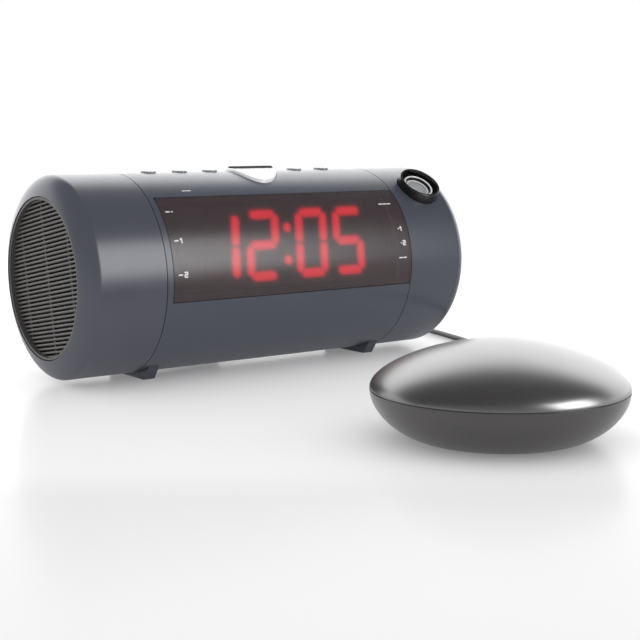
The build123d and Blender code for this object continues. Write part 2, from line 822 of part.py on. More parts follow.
with BuildPart() as barrel_shell:
    with BuildSketch(across(left_seam_x + seam_gap / 2)):
        Circle(barrel_radius)
        Circle(inner_radius, mode=Mode.SUBTRACT)
    extrude(amount=right_seam_x - left_seam_x - seam_gap)
    for rib_x in (rib_left_x - rib_thickness, rib_right_x):
        with BuildSketch(across(rib_x)):
            Circle(inner_radius + fit_gap)
            Circle(rib_inner_radius, mode=Mode.SUBTRACT)
        extrude(amount=rib_thickness)
    add(battery_pocket.part)
    with BuildSketch(facing(door_angle, pocket_floor_height + pocket_wall, body_middle)):
        Rectangle(pocket_length, pocket_width)
    extrude(amount=barrel_radius, mode=Mode.SUBTRACT)
    # The door's recess, the window's notch and the rear panel's seat, each with its opening
    with BuildSketch(across(body_middle - door_length / 2 - fit_gap)):
        door_reach = door_half_angle + spread(fit_gap)
        add(band(recess_radius, barrel_radius + cut, door_angle - door_reach, door_angle + door_reach))
    extrude(amount=door_length + 2 * fit_gap, mode=Mode.SUBTRACT)
    with BuildSketch(across(window_left_x - seam_gap)):
        add(
            band(
                recess_radius,
                barrel_radius + cut,
                window_top_angle - spread(seam_gap),
                window_bottom_angle + spread(seam_gap),
            )
        )
    extrude(amount=right_seam_x - window_left_x + seam_gap, mode=Mode.SUBTRACT)
    with BuildSketch(across(window_left_x + window_ledge)):
        add(
            band(
                inner_radius - cut,
                barrel_radius,
                window_top_angle + spread(window_ledge),
                window_bottom_angle - spread(window_ledge),
            )
        )
    extrude(
        amount=right_seam_x - window_left_x - window_ledge - window_end_ledge,
        mode=Mode.SUBTRACT,
    )
    with BuildSketch(across(body_middle - panel_width / 2 - fit_gap)):
        add(
            band(
                recess_radius,
                barrel_radius + cut,
                panel_bottom_angle - spread(fit_gap),
                panel_top_angle + spread(fit_gap),
            )
        )
    extrude(amount=panel_width + 2 * fit_gap, mode=Mode.SUBTRACT)
    with BuildSketch(rearward(jack_front_y - cut, body_middle)):
        Rectangle(
            bay_width + 2 * (bay_plate + fit_gap),
            bay_height + 2 * (bay_plate + fit_gap),
        )
    extrude(amount=barrel_radius, mode=Mode.SUBTRACT)
    # Holes for the caps on top
    with BuildSketch(Plane.XY.offset(axis_z + barrel_radius / 2)):
        with Locations(*[(x, axis_y) for x in button_places]):
            button_outline(slide_gap)
        with Locations((snooze_x, axis_y)):
            snooze_outline(slide_gap)
    extrude(amount=barrel_radius, mode=Mode.SUBTRACT)
barrel_shell.part.label = "barrel_shell"
export_step(barrel_shell.part, "parts/barrel_shell.step")

# Feet: two saddle bars under the barrel, with sloping ends
foot_width = 6.0
foot_reach = 17.0           # half its length on the table
foot_splay = 22.5           # half its length where it meets the barrel
left_foot_inset = 6.8       # from its middle to the seam
right_foot_inset = 4.4

for name, middle in (
    ("left_foot", left_seam_x + left_foot_inset),
    ("right_foot", right_seam_x - right_foot_inset),
):
    with BuildPart() as foot:
        with BuildSketch(across(middle - foot_width / 2)):
            foot_top = -sqrt(barrel_radius**2 - foot_splay**2) + wall
            with BuildLine():
                Polyline(
                    (-foot_reach, -axis_z),
                    (foot_reach, -axis_z),
                    (foot_splay, foot_top - wall),
                    (foot_splay, foot_top),
                    (-foot_splay, foot_top),
                    (-foot_splay, foot_top - wall),
                    close=True,
                )
            make_face()
            Circle(barrel_radius + fit_gap, mode=Mode.SUBTRACT)
        extrude(amount=foot_width)
    foot.part.label = name
    export_step(foot.part, f"parts/{name}.step")

# Right bulkhead with the pivot on which the projector head turns, and the pivot's washer
pivot_radius = 8.0
pivot_bore = 5.5
hub_radius = 11.0
hub_plate_thickness = 2.2
hub_length = 5.0
head_spigot_length = 3.0    # past the seam
washer_radius = 10.0
washer_thickness = 1.2
bulkhead_x = rib_right_x + rib_thickness
bulkhead_face_x = bulkhead_x + wall
hub_x = right_seam_x + head_spigot_length + slide_gap
pivot_end_x = hub_x + hub_length + slide_gap

with BuildPart() as right_bulkhead:
    with BuildSketch(across(bulkhead_x)):
        Circle(inner_radius - fit_gap)
        Circle(pivot_bore, mode=Mode.SUBTRACT)
    extrude(amount=wall)
    with BuildSketch(across(bulkhead_face_x)):
        Circle(inner_radius - slide_gap)
        Circle(inner_radius - slide_gap - spigot_wall, mode=Mode.SUBTRACT)
    extrude(amount=right_seam_x + head_spigot_length - bulkhead_face_x)
    with BuildSketch(across(bulkhead_face_x)):
        Circle(pivot_radius)
        Circle(pivot_bore, mode=Mode.SUBTRACT)
    extrude(amount=pivot_end_x - bulkhead_face_x)
right_bulkhead.part.label = "right_bulkhead"
export_step(right_bulkhead.part, "parts/right_bulkhead.step")

with BuildPart() as pivot_washer:
    with BuildSketch(across(pivot_end_x)):
        Circle(washer_radius)
        Circle(pivot_bore, mode=Mode.SUBTRACT)
    extrude(amount=washer_thickness)
pivot_washer.part.label = "pivot_washer"
export_step(pivot_washer.part, "parts/pivot_washer.step")

# Projector head: the domed end, the plate with its hub, and the seat of the focus ring
dome_depth = 14.7
dome_drop = 35.7
projector_angle = 38.0
projector_inset = 27.6      # its middle from the tip
projector_x = tip_x - projector_inset
seat_height = 48.2          # the focus ring's seat above the barrel's axis
boss_radius = 13.2
boss_top = 48.0
boss_step = 40.0
boss_low = 34.0
boss_bore = 12.0
neck_radius = 10.2
neck_bore = 8.9
ring_radius = 11.8
ring_bore = 10.5
ring_mouth = 54.2
ring_floor = 1.5
ring_edge = 0.5
clip_radius = 11.7
clip_thickness = 1.2
dome_centre_radius = barrel_radius - dome_drop
dome_centre_x = tip_x - dome_depth

with BuildPart() as projector_head:
    with BuildSketch(profile_plane):
        with BuildLine():
            dome_outside = EllipticalCenterArc(
                (dome_centre_x, dome_centre_radius),
                dome_depth,
                dome_drop,
                start_angle=90,
                arc_size=-90,
            )
            dome_inside = EllipticalCenterArc(
                (dome_centre_x, dome_centre_radius),
                dome_depth - wall,
                dome_drop - wall,
                start_angle=0,
                arc_size=90,
            )
            Polyline(
                dome_outside @ 1,
                (tip_x, 0),
                (tip_x - wall, 0),
                dome_inside @ 0,
            )
            Polyline(
                dome_inside @ 1,
                (right_seam_x + seam_gap / 2, inner_radius),
                (right_seam_x + seam_gap / 2, barrel_radius),
                dome_outside @ 0,
            )
        make_face()
    revolve(axis=barrel_axis)
    with BuildSketch(facing(projector_angle, boss_low, projector_x)):
        Circle(boss_radius)
    extrude(amount=boss_top - boss_low)
    with BuildSketch(facing(projector_angle, boss_low, projector_x)):
        Circle(boss_bore)
    extrude(amount=boss_step - boss_low, mode=Mode.SUBTRACT)
    with BuildSketch(facing(projector_angle, boss_step, projector_x)):
        Circle(neck_radius + run_gap)
    extrude(amount=barrel_radius, mode=Mode.SUBTRACT)
    with BuildSketch(facing(projector_angle, seat_height, projector_x)):
        Circle(ring_radius + slide_gap)
    extrude(amount=barrel_radius, mode=Mode.SUBTRACT)
projector_head.part.label = "projector_head"
export_step(projector_head.part, "parts/projector_head.step")

with BuildPart() as hub_plate:
    with BuildSketch(across(hub_x)):
        Circle(inner_radius - fit_gap)
    extrude(amount=hub_plate_thickness)
    with BuildSketch(across(hub_x)):
        Circle(hub_radius)
    extrude(amount=hub_length)
    with BuildSketch(across(hub_x)):
        Circle(pivot_radius + run_gap)
    extrude(amount=hub_length, mode=Mode.SUBTRACT)
hub_plate.part.label = "hub_plate"
export_step(hub_plate.part, "parts/hub_plate.step")

# Focus ring: the cup round the lens, its neck in the boss, and the clip that keeps it there
clip_height = boss_step - slide_gap - clip_thickness

with BuildPart() as focus_ring:
    with BuildSketch(facing(projector_angle, seat_height + slide_gap, projector_x)):
        Circle(ring_radius)
    extrude(amount=ring_mouth - seat_height - slide_gap)
    rims = focus_ring.edges().sort_by(Axis((0, axis_y, axis_z), facing(projector_angle, 0).z_dir))
    fillet(rims[-1], radius=ring_edge)
    with BuildSketch(facing(projector_angle, ring_mouth, projector_x)):
        Circle(ring_bore)
    extrude(amount=seat_height + slide_gap + ring_floor - ring_mouth, mode=Mode.SUBTRACT)
    with BuildSketch(facing(projector_angle, clip_height + clip_thickness, projector_x)):
        Circle(neck_radius)
    extrude(amount=seat_height + slide_gap + ring_floor - clip_height - clip_thickness)
    with BuildSketch(facing(projector_angle, clip_height, projector_x)):
        Circle(neck_bore)
    extrude(amount=barrel_radius, mode=Mode.SUBTRACT)
focus_ring.part.label = "focus_ring"
export_step(focus_ring.part, "parts/focus_ring.step")

with BuildPart() as focus_clip:
    with BuildSketch(facing(projector_angle, clip_height, projector_x)):
        Circle(clip_radius)
        Circle(neck_bore, mode=Mode.SUBTRACT)
    extrude(amount=clip_thickness)
focus_clip.part.label = "focus_clip"
export_step(focus_clip.part, "parts/focus_clip.step")

# Lens in its cell, which runs up and down in the neck as the ring turns
cell_radius = neck_bore - slide_gap
cell_bore = 6.9
cell_low = 46.0
cell_length = 5.4
cell_rebate = 3.0
lens_radius = 7.8
lens_edge = 1.0
lens_crown = 1.3
lens_seat = cell_low + cell_length - cell_rebate
lens_curve = (lens_radius**2 + lens_crown**2) / (2 * lens_crown)

with BuildPart() as lens_cell:
    with BuildSketch(facing(projector_angle, cell_low, projector_x)):
        Circle(cell_radius)
        Circle(cell_bore, mode=Mode.SUBTRACT)
    extrude(amount=cell_length)
    with BuildSketch(facing(projector_angle, lens_seat, projector_x)):
        Circle(lens_radius + fit_gap)
    extrude(amount=cell_rebate, mode=Mode.SUBTRACT)
lens_cell.part.label = "lens_cell"
export_step(lens_cell.part, "parts/lens_cell.step")

lens_plane = Plane(
    origin=facing(projector_angle, lens_seat, projector_x).origin,
    x_dir=(1, 0, 0),
    z_dir=-facing(projector_angle, 0).y_dir,
)
with BuildPart() as projector_lens:
    with BuildSketch(lens_plane):
        with BuildLine():
            lens_top = CenterArc(
                (0, lens_edge + lens_crown - lens_curve),
                lens_curve,
                90 - degrees(asin(lens_radius / lens_curve)),
                degrees(asin(lens_radius / lens_curve)),
            )
            Polyline(lens_top @ 1, (0, 0), (lens_radius, 0), lens_top @ 0)
        make_face()
    revolve(axis=Axis(lens_plane.origin, facing(projector_angle, 0).z_dir))
projector_lens.part.label = "projector_lens"
export_step(projector_lens.part, "parts/projector_lens.step")

# Light path under the lens: tube, dial slide and lamp
tube_radius = 9.2
tube_bore = 7.2
tube_low = 20.0
tube_flange = 3.0
slide_size = 12.0
slide_thickness = 1.5
lamp_depth = 6.0
lamp_board_size = 18.0
lamp_radius = 2.5
lamp_length = 3.5

with BuildPart() as projector_tube:
    with BuildSketch(facing(projector_angle, tube_low, projector_x)):
        Circle(tube_radius)
    extrude(amount=boss_low + tube_flange - tube_low)
    with BuildSketch(facing(projector_angle, boss_low, projector_x)):
        Circle(boss_bore - fit_gap)
    extrude(amount=tube_flange)
    with BuildSketch(facing(projector_angle, tube_low, projector_x)):
        Circle(tube_bore)
    extrude(amount=barrel_radius, mode=Mode.SUBTRACT)
projector_tube.part.label = "projector_tube"
export_step(projector_tube.part, "parts/projector_tube.step")

with BuildPart() as dial_slide:
    with BuildSketch(facing(projector_angle, tube_low, projector_x)):
        Rectangle(slide_size, slide_size)
    extrude(amount=-slide_thickness)
dial_slide.part.label = "dial_slide"
export_step(dial_slide.part, "parts/dial_slide.step")

with BuildPart() as projector_lamp:
    lamp_face = tube_low - slide_thickness - lamp_depth
    with BuildSketch(facing(projector_angle, lamp_face, projector_x)):
        Circle(tube_radius)
        Circle(tube_bore, mode=Mode.SUBTRACT)
    extrude(amount=lamp_depth)
    with BuildSketch(facing(projector_angle, lamp_face, projector_x)):
        Rectangle(lamp_board_size, lamp_board_size)
    extrude(amount=-board_thickness)
    with BuildSketch(facing(projector_angle, lamp_face, projector_x)):
        Circle(lamp_radius)
    extrude(amount=lamp_length)
projector_lamp.part.label = "projector_lamp"
export_step(projector_lamp.part, "parts/projector_lamp.step")

# Screws that hold the loudspeaker's ears to the baffle
screw_head_radius = 2.6
screw_head = 1.6

with BuildPart() as speaker_screws:
    with BuildSketch(across(basket_front_x)):
        with PolarLocations(ear_radius, ear_count, start_angle=45):
            Circle(screw_head_radius)
    extrude(amount=screw_head)
    with BuildSketch(across(basket_front_x)):
        with PolarLocations(ear_radius, ear_count, start_angle=45):
            Circle(screw_radius - run_gap)
    extrude(amount=-flange_thickness - baffle_thickness / 2 + fit_gap)
speaker_screws.part.label = "speaker_screws"
export_step(speaker_screws.part, "parts/speaker_screws.step")

# Shaker: a domed top and a bowl-shaped base, each a wall thick, on four screw posts
shaker_base_radius = 26.0
dome_rise_share = 0.45      # how far the dome's edge runs upright, of its height
dome_top_share = 0.42       # how far its crown runs level, of its radius
bowl_foot_share = 0.50
bowl_rim_share = 0.50
shaker_edge = 0.5           # the fine step at the seam
post_radius = 3.2
post_across = 8.0
post_along = 20.0
shaker_screw_radius = 1.2
shaker_screw_head = 2.4
shaker_screw_sink = 1.5
shaker_plane = Plane(origin=(shaker_offset, shaker_y, 0), x_dir=(1, 0, 0), z_dir=(0, -1, 0))
shaker_axis = Axis((shaker_offset, shaker_y, 0), (0, 0, 1))
post_places = [
    (shaker_offset + side * post_across, shaker_y + end * post_along)
    for side in (-1, 1)
    for end in (-1, 1)
]


def dome_curve(inset):
    """Control points of the dome's profile, from the seam to the crown, moved in by a wall."""
    radius = shaker_radius - inset
    rise = shaker_height - inset - shaker_seam_height
    return [
        (radius, shaker_seam_height),
        (radius, shaker_seam_height + dome_rise_share * rise),
        (dome_top_share * radius, shaker_seam_height + rise),
        (0, shaker_seam_height + rise),
    ]


def bowl_curve(inset):
    """Control points of the bowl's profile, from its flat base to the seam, moved in by a wall."""
    radius = shaker_radius - inset
    depth = shaker_seam_height - inset
    foot = shaker_base_radius
    return [
        (foot, inset),
        (foot + bowl_foot_share * (radius - foot), inset),
        (radius, shaker_seam_height - bowl_rim_share * depth),
        (radius, shaker_seam_height),
    ]


with BuildPart() as shaker_top:
    with BuildSketch(shaker_plane):
        with BuildLine():
            dome_skin = Bezier(*dome_curve(0))
            dome_lining = Bezier(*dome_curve(shaker_wall))
            Line(dome_skin @ 0, dome_lining @ 0)
            Line(dome_skin @ 1, dome_lining @ 1)
        make_face()
    revolve(axis=shaker_axis)
    with BuildSketch(Plane.XY.offset(shaker_seam_height)):
        with Locations(*post_places):
            Circle(post_radius)
    extrude(until=Until.NEXT)
    with BuildSketch(Plane.XY.offset(shaker_seam_height)):
        with Locations(*post_places):
            Circle(shaker_screw_radius)
    extrude(amount=shaker_seam_height / 3, mode=Mode.SUBTRACT)
shaker_top.part.label = "shaker_top"
export_step(shaker_top.part, "parts/shaker_top.step")

# Exit of the cord: a tapered relief that points away from the clock's front
relief_angle = 45.0
relief_z = 14.0
relief_length = 16.0
relief_root_radius = 4.2
relief_tip_radius = 2.3
relief_start = shaker_radius - 2 * shaker_wall
relief_end = relief_start + relief_length + 2 * shaker_wall
relief_out = Vector(cos(radians(relief_angle)), sin(radians(relief_angle)), 0)


def relief_plane(distance):
    """Plane square to the cord's exit, at a distance from the shaker's centre."""
    place = Vector(shaker_offset, shaker_y, relief_z) + relief_out * distance
    return Plane(origin=place, x_dir=(0, 0, 1), z_dir=relief_out)


with BuildPart() as shaker_base:
    with BuildSketch(shaker_plane):
        with BuildLine():
            bowl_skin = Bezier(*bowl_curve(0))
            bowl_lining = Bezier(*bowl_curve(shaker_wall))
            Line(bowl_skin @ 1, bowl_lining @ 1)
            Polyline(bowl_skin @ 0, (0, 0), (0, shaker_wall), bowl_lining @ 0)
        make_face()
        with Locations((shaker_radius, shaker_seam_height)):
            Rectangle(2 * shaker_edge, 2 * shaker_edge, mode=Mode.SUBTRACT)
    revolve(axis=shaker_axis)
    with BuildSketch(Plane.XY.offset(shaker_wall / 2)):
        with Locations(*post_places):
            Circle(post_radius)
    extrude(amount=shaker_seam_height - shaker_wall / 2)
    with BuildSketch(Plane.XY):
        with Locations(*post_places):
            Circle(shaker_screw_radius + fit_gap)
    extrude(amount=shaker_seam_height, mode=Mode.SUBTRACT)
    with BuildSketch(Plane.XY):
        with Locations(*post_places):
            Circle(shaker_screw_head + fit_gap)
    extrude(amount=shaker_screw_sink, mode=Mode.SUBTRACT)
    with BuildSketch(relief_plane(relief_start - shaker_wall)):
        Circle(relief_root_radius + fit_gap)
    extrude(amount=relief_length, mode=Mode.SUBTRACT)
shaker_base.part.label = "shaker_base"
export_step(shaker_base.part, "parts/shaker_base.step")

with BuildPart() as shaker_screws:
    with BuildSketch(Plane.XY.offset(shaker_screw_head / 4)):
        with Locations(*post_places):
            Circle(shaker_screw_head)
    extrude(amount=shaker_screw_sink - shaker_screw_head / 4)
    with BuildSketch(Plane.XY.offset(shaker_screw_sink)):
        with Locations(*post_places):
            Circle(shaker_screw_radius - run_gap)
    extrude(amount=shaker_seam_height + shaker_seam_height / 4 - shaker_screw_sink)
shaker_screws.part.label = "shaker_screws"
export_step(shaker_screws.part, "parts/shaker_screws.step")

with BuildPart() as cord_relief:
    with BuildSketch(relief_plane(relief_start)):
        Circle(relief_root_radius)
    with BuildSketch(relief_plane(relief_end)):
        Circle(relief_tip_radius)
    loft()
cord_relief.part.label = "cord_relief"
export_step(cord_relief.part, "parts/cord_relief.step")

# Shaker motor: its can in a cradle, its shaft, and the off-centre weight on the shaft
motor_radius = 12.0
motor_length = 28.0
motor_start = -22.0         # its back end, from the shaker's centre
motor_z = 19.5
motor_shaft_radius = 1.5
shaft_overhang = 15.0
shaft_hold = 8.0            # inside the can
weight_radius = 12.5
weight_length = 11.0
weight_gap = 3.0
cradle_wall = 2.0
cradle_length = 22.0
motor_face_x = shaker_offset + motor_start + motor_length


def shaker_across(x):
    """Plane square to the motor at x: its first axis points back, its second up."""
    return Plane(origin=(x, shaker_y, motor_z), x_dir=(0, 1, 0), z_dir=(1, 0, 0))


with BuildPart() as shaker_motor:
    with BuildSketch(shaker_across(shaker_offset + motor_start)):
        Circle(motor_radius)
    extrude(amount=motor_length)
    with BuildSketch(shaker_across(motor_face_x)):
        Circle(motor_shaft_radius + run_gap)
    extrude(amount=-shaft_hold, mode=Mode.SUBTRACT)
shaker_motor.part.label = "shaker_motor"
export_step(shaker_motor.part, "parts/shaker_motor.step")

with BuildPart() as motor_cradle:
    cradle_middle = shaker_offset + motor_start + motor_length / 2
    with BuildSketch(shaker_across(cradle_middle - cradle_length / 2)):
        with Locations((0, shaker_wall - motor_z)):
            Rectangle(
                2 * (motor_radius + cradle_wall),
                motor_z - shaker_wall,
                align=(Align.CENTER, Align.MIN),
            )
        Circle(motor_radius + fit_gap, mode=Mode.SUBTRACT)
    extrude(amount=cradle_length)
motor_cradle.part.label = "motor_cradle"
export_step(motor_cradle.part, "parts/motor_cradle.step")

with BuildPart() as motor_shaft:
    with BuildSketch(shaker_across(motor_face_x - shaft_hold + slide_gap)):
        Circle(motor_shaft_radius)
    extrude(amount=shaft_hold - slide_gap + shaft_overhang)
motor_shaft.part.label = "motor_shaft"
export_step(motor_shaft.part, "parts/motor_shaft.step")

with BuildPart() as off_centre_weight:
    with BuildSketch(shaker_across(motor_face_x + weight_gap)):
        Circle(weight_radius)
        with Locations((0, motor_shaft_radius * 2)):
            Rectangle(2 * weight_radius, weight_radius, align=(Align.CENTER, Align.MIN), mode=Mode.SUBTRACT)
        Circle(motor_shaft_radius, mode=Mode.SUBTRACT)
    extrude(amount=weight_length)
off_centre_weight.part.label = "off_centre_weight"
export_step(off_centre_weight.part, "parts/off_centre_weight.step")

# Plug of the shaker's cord: a pin in the jack, a right-angled body and a relief that points down
plug_pin_radius = 1.7
plug_pin_length = 13.5
plug_width = 9.0
plug_depth = 10.0
plug_exit = 6.8             # from the bay floor to the cord
plug_above = 5.5
plug_below = 7.0
plug_corner = 1.5
plug_relief_length = 12.0
plug_relief_root = 3.2
plug_relief_tip = 2.0
plug_front_y = axis_y + bay_floor
plug_y = plug_front_y + plug_depth / 2
lead_y = plug_front_y + plug_exit
plug_z = axis_z + bay_rise
plug_low_z = plug_z - plug_below
lead_top_z = plug_low_z - plug_relief_length

with BuildPart() as shaker_plug:
    with BuildSketch(Plane.XY.offset(plug_low_z)):
        with Locations((shaker_jack_x, plug_y)):
            RectangleRounded(plug_width, plug_depth, radius=plug_corner)
    extrude(amount=plug_above + plug_below)
    with BuildSketch(rearward(bay_floor, shaker_jack_x)):
        Circle(plug_pin_radius)
    extrude(amount=-plug_pin_length)
    with BuildSketch(rearward(bay_floor, shaker_jack_x)):
        Circle(plug_pin_radius)
    extrude(amount=plug_depth / 2)
    with BuildSketch(Plane.XY.offset(lead_top_z)):
        with Locations((shaker_jack_x, lead_y)):
            Circle(plug_relief_tip)
    with BuildSketch(Plane.XY.offset(plug_low_z)):
        with Locations((shaker_jack_x, lead_y)):
            Circle(plug_relief_root)
    loft()
shaker_plug.part.label = "shaker_plug"
export_step(shaker_plug.part, "parts/shaker_plug.step")

# Cord coil: one tube in four layers of loops, in and out again, behind the clock
coil_mid_radius = 17.5
coil_turns_per_layer = 3
coil_layers = 4
coil_pitch = 3.6
coil_offset = 3.0           # the coil's centre along the barrel
coil_room = 2.5             # behind the barrel
tie_thickness = 0.6
tie_gap = 0.2
cord_radius = cord_diameter / 2
coil_high_radius = coil_mid_radius + coil_turns_per_layer * coil_pitch / 2
coil_centre_y = axis_y + barrel_radius + coil_room + coil_high_radius + cord_radius
coil_low_z = cord_radius + tie_thickness + tie_gap
coil_top_z = coil_low_z + (coil_layers - 1) * coil_pitch
coil_turns = coil_turns_per_layer * coil_layers


def coil_knot(turn):
    """Place and direction of the coil's centre line after a number of turns.

    The radius falls and rises steadily, and the layer changes half way through a climb.
    """
    layer = min(int(turn / coil_turns_per_layer), coil_layers - 1)
    gone = turn - layer * coil_turns_per_layer
    inward = layer % 2 == 0
    share = gone if inward else coil_turns_per_layer - gone
    radius = coil_high_radius - coil_pitch * share
    angle = 2 * pi * turn
    slope = coil_pitch / (2 * pi) * (-1 if inward else 1)
    out = Vector(cos(angle), sin(angle), 0)
    along = Vector(-sin(angle), cos(angle), 0)
    place = Vector(coil_offset, coil_centre_y, coil_low_z + layer * coil_pitch) + out * radius
    return place, (along * radius + out * slope).normalized()


def biarc(start, start_way, end, end_way):
    """Three points and two directions of the pair of arcs between two knots."""
    chord = end - start
    ways = start_way + end_way
    bend = 2 * (1 - start_way.dot(end_way))
    reach = (sqrt(chord.dot(ways) ** 2 + bend * chord.dot(chord)) - chord.dot(ways)) / bend
    near = start + start_way * reach
    far = end - end_way * reach
    return (near + far) * 0.5, (far - near).normalized()


coil_knots = [coil_knot(0.25 + 0.5 * half) for half in range(2 * coil_turns)]
coil_knots[0] = (coil_knots[0][0], Vector(-1, 0, 0))
coil_knots[-1] = (coil_knots[-1][0], Vector(1, 0, 0))
coil_start = coil_knots[0][0] + Vector(cord_diameter, 0, 0)
coil_end = coil_knots[-1][0] + Vector(cord_diameter, 0, 0)

with BuildPart() as cord_coil:
    with BuildLine() as coil_path:
        Line(coil_start, coil_knots[0][0])
        for (start, start_way), (end, end_way) in zip(coil_knots, coil_knots[1:]):
            joint, joint_way = biarc(start, start_way, end, end_way)
            TangentArc(start, joint, tangent=start_way)
            TangentArc(joint, end, tangent=joint_way)
        Line(coil_knots[-1][0], coil_end)
    with BuildSketch(Plane(origin=coil_start, x_dir=(0, 1, 0), z_dir=(-1, 0, 0))):
        Circle(cord_radius)
    sweep(path=coil_path.line)
cord_coil.part.label = "cord_coil"
export_step(cord_coil.part, "parts/cord_coil.step")

# Tie round the coil's bundle of turns
tie_width = 5.0
tie_corner = 1.2
bundle_near = coil_high_radius - coil_turns_per_layer * coil_pitch - cord_radius - tie_gap
bundle_far = coil_high_radius + cord_radius + tie_gap
bundle_height = coil_top_z + cord_radius + tie_gap - tie_thickness

with BuildPart() as cord_tie:
    tie_middle = coil_offset - (bundle_near + bundle_far) / 2
    with BuildSketch(Plane(origin=(tie_middle, coil_centre_y, 0), x_dir=(1, 0, 0), z_dir=(0, -1, 0))):
        with Locations((0, tie_thickness + bundle_height / 2)):
            RectangleRounded(
                bundle_far - bundle_near + 2 * tie_thickness,
                bundle_height + 2 * tie_thickness,
                radius=tie_corner + tie_thickness,
            )
            RectangleRounded(
                bundle_far - bundle_near,
                bundle_height,
                radius=tie_corner,
                mode=Mode.SUBTRACT,
            )
    extrude(amount=tie_width / 2, both=True)
cord_tie.part.label = "cord_tie"
export_step(cord_tie.part, "parts/cord_tie.step")

# Free stretches of the cord: from the plug to the coil, and round the clock's end to the shaker
cord_exit = 12.0            # straight out of a relief
relief_tip = Vector(shaker_offset, shaker_y, relief_z) + relief_out * relief_end
lead_run = coil_end.X - shaker_jack_x
lead_steps = [              # each a share of the run, a way back, and a height above the coil's end
    (0.092, 0.35, 5.3),
    (0.329, 1.25, 0.8),
    (0.645, 1.8, 0.0),
]
lead_points = [
    (shaker_jack_x, lead_y, lead_top_z),
    (shaker_jack_x, lead_y, lead_top_z - cord_exit),
    *[
        (shaker_jack_x + share * lead_run, lead_y + back, coil_end.Z + above)
        for share, back, above in lead_steps
    ],
    tuple(coil_end),
]
tail_points = [
    tuple(coil_start),
    (29.0, coil_start.Y, coil_start.Z),
    (53.5, 209.0, 1.7),
    (81.5, 206.2, 1.55),
    (110.0, 197.5, 1.55),
    (134.0, 180.5, 1.55),
    (146.5, 157.0, 1.55),
    (145.6, 131.5, 1.55),
    (138.2, 103.5, 1.55),
    (131.5, 78.0, 1.55),
    (118.0, 54.5, 1.55),
    (100.5, 31.0, 1.55),
    (81.5, 7.0, 1.55),
    (65.0, -13.5, 1.8),
    (52.0, -29.5, 4.4),
    (41.0, -42.0, 9.4),
    tuple(relief_tip + relief_out * cord_exit),
    tuple(relief_tip),
]


def bend_radii(points):
    """The largest arc that each corner's two runs allow."""
    corners = [Vector(*point) for point in points]
    radii = []
    for before, corner, after in zip(corners, corners[1:], corners[2:]):
        into = corner - before
        away = after - corner
        turn = radians(into.get_angle(away))
        radii.append(0.45 * min(into.length, away.length) / tan(turn / 2))
    return radii


def report(name, points, tube):
    """Print a stretch's runs, its bends and its volume against section times length."""
    corners = [Vector(*point) for point in points]
    runs = [round((after - before).length, 1) for before, after in zip(corners, corners[1:])]
    radii = [round(radius, 1) for radius in bend_radii(points)]
    share = tube.part.volume / (pi * cord_radius**2 * tube_length[name])
    print(name, "length", round(tube_length[name], 1), "volume share", round(share, 4))
    print("  runs", runs)
    print("  radii", radii)


coil_wire = coil_path.wire()
tube_length = {"cord_coil": coil_wire.length}

with BuildPart() as cord_lead:
    with BuildLine() as lead_path:
        FilletPolyline(*lead_points, radius=bend_radii(lead_points))
    with BuildSketch(Plane(origin=lead_points[0], x_dir=(1, 0, 0), z_dir=(0, 0, -1))):
        Circle(cord_radius)
    sweep(path=lead_path.line)
cord_lead.part.label = "cord_lead"
export_step(cord_lead.part, "parts/cord_lead.step")
tube_length["cord_lead"] = lead_path.wire().length

with BuildPart() as cord_tail:
    with BuildLine() as tail_path:
        FilletPolyline(*tail_points, radius=bend_radii(tail_points))
    with BuildSketch(Plane(origin=tail_points[0], x_dir=(0, 1, 0), z_dir=(1, 0, 0))):
        Circle(cord_radius)
    sweep(path=tail_path.line)
cord_tail.part.label = "cord_tail"
export_step(cord_tail.part, "parts/cord_tail.step")
tube_length["cord_tail"] = tail_path.wire().length

report("cord_lead", lead_points, cord_lead)
report("cord_tail", tail_points, cord_tail)
coil_share = cord_coil.part.volume / (pi * cord_radius**2 * tube_length["cord_coil"])
print("cord_coil length", round(tube_length["cord_coil"], 1), "volume share", round(coil_share, 4))
print("whole cord", round(sum(tube_length.values()), 1))

# Least gap of the coil to itself, on points along its centre line
points_per_turn = 48
sample_count = coil_turns * points_per_turn
samples = [coil_wire @ (index / sample_count) for index in range(sample_count + 1)]
least = min(
    (samples[second] - samples[first]).length
    for first in range(sample_count)
    for second in range(first + points_per_turn // 2, sample_count + 1)
)
print("least gap of the coil to itself", round(least - cord_diameter, 3))
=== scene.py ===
"""Looks, floor, light and camera of the bed shaker alarm clock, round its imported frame."""

import json
from math import cos, pi, radians, sin, tan

import bmesh
import bpy
import numpy as np
from mathutils import Matrix, Vector

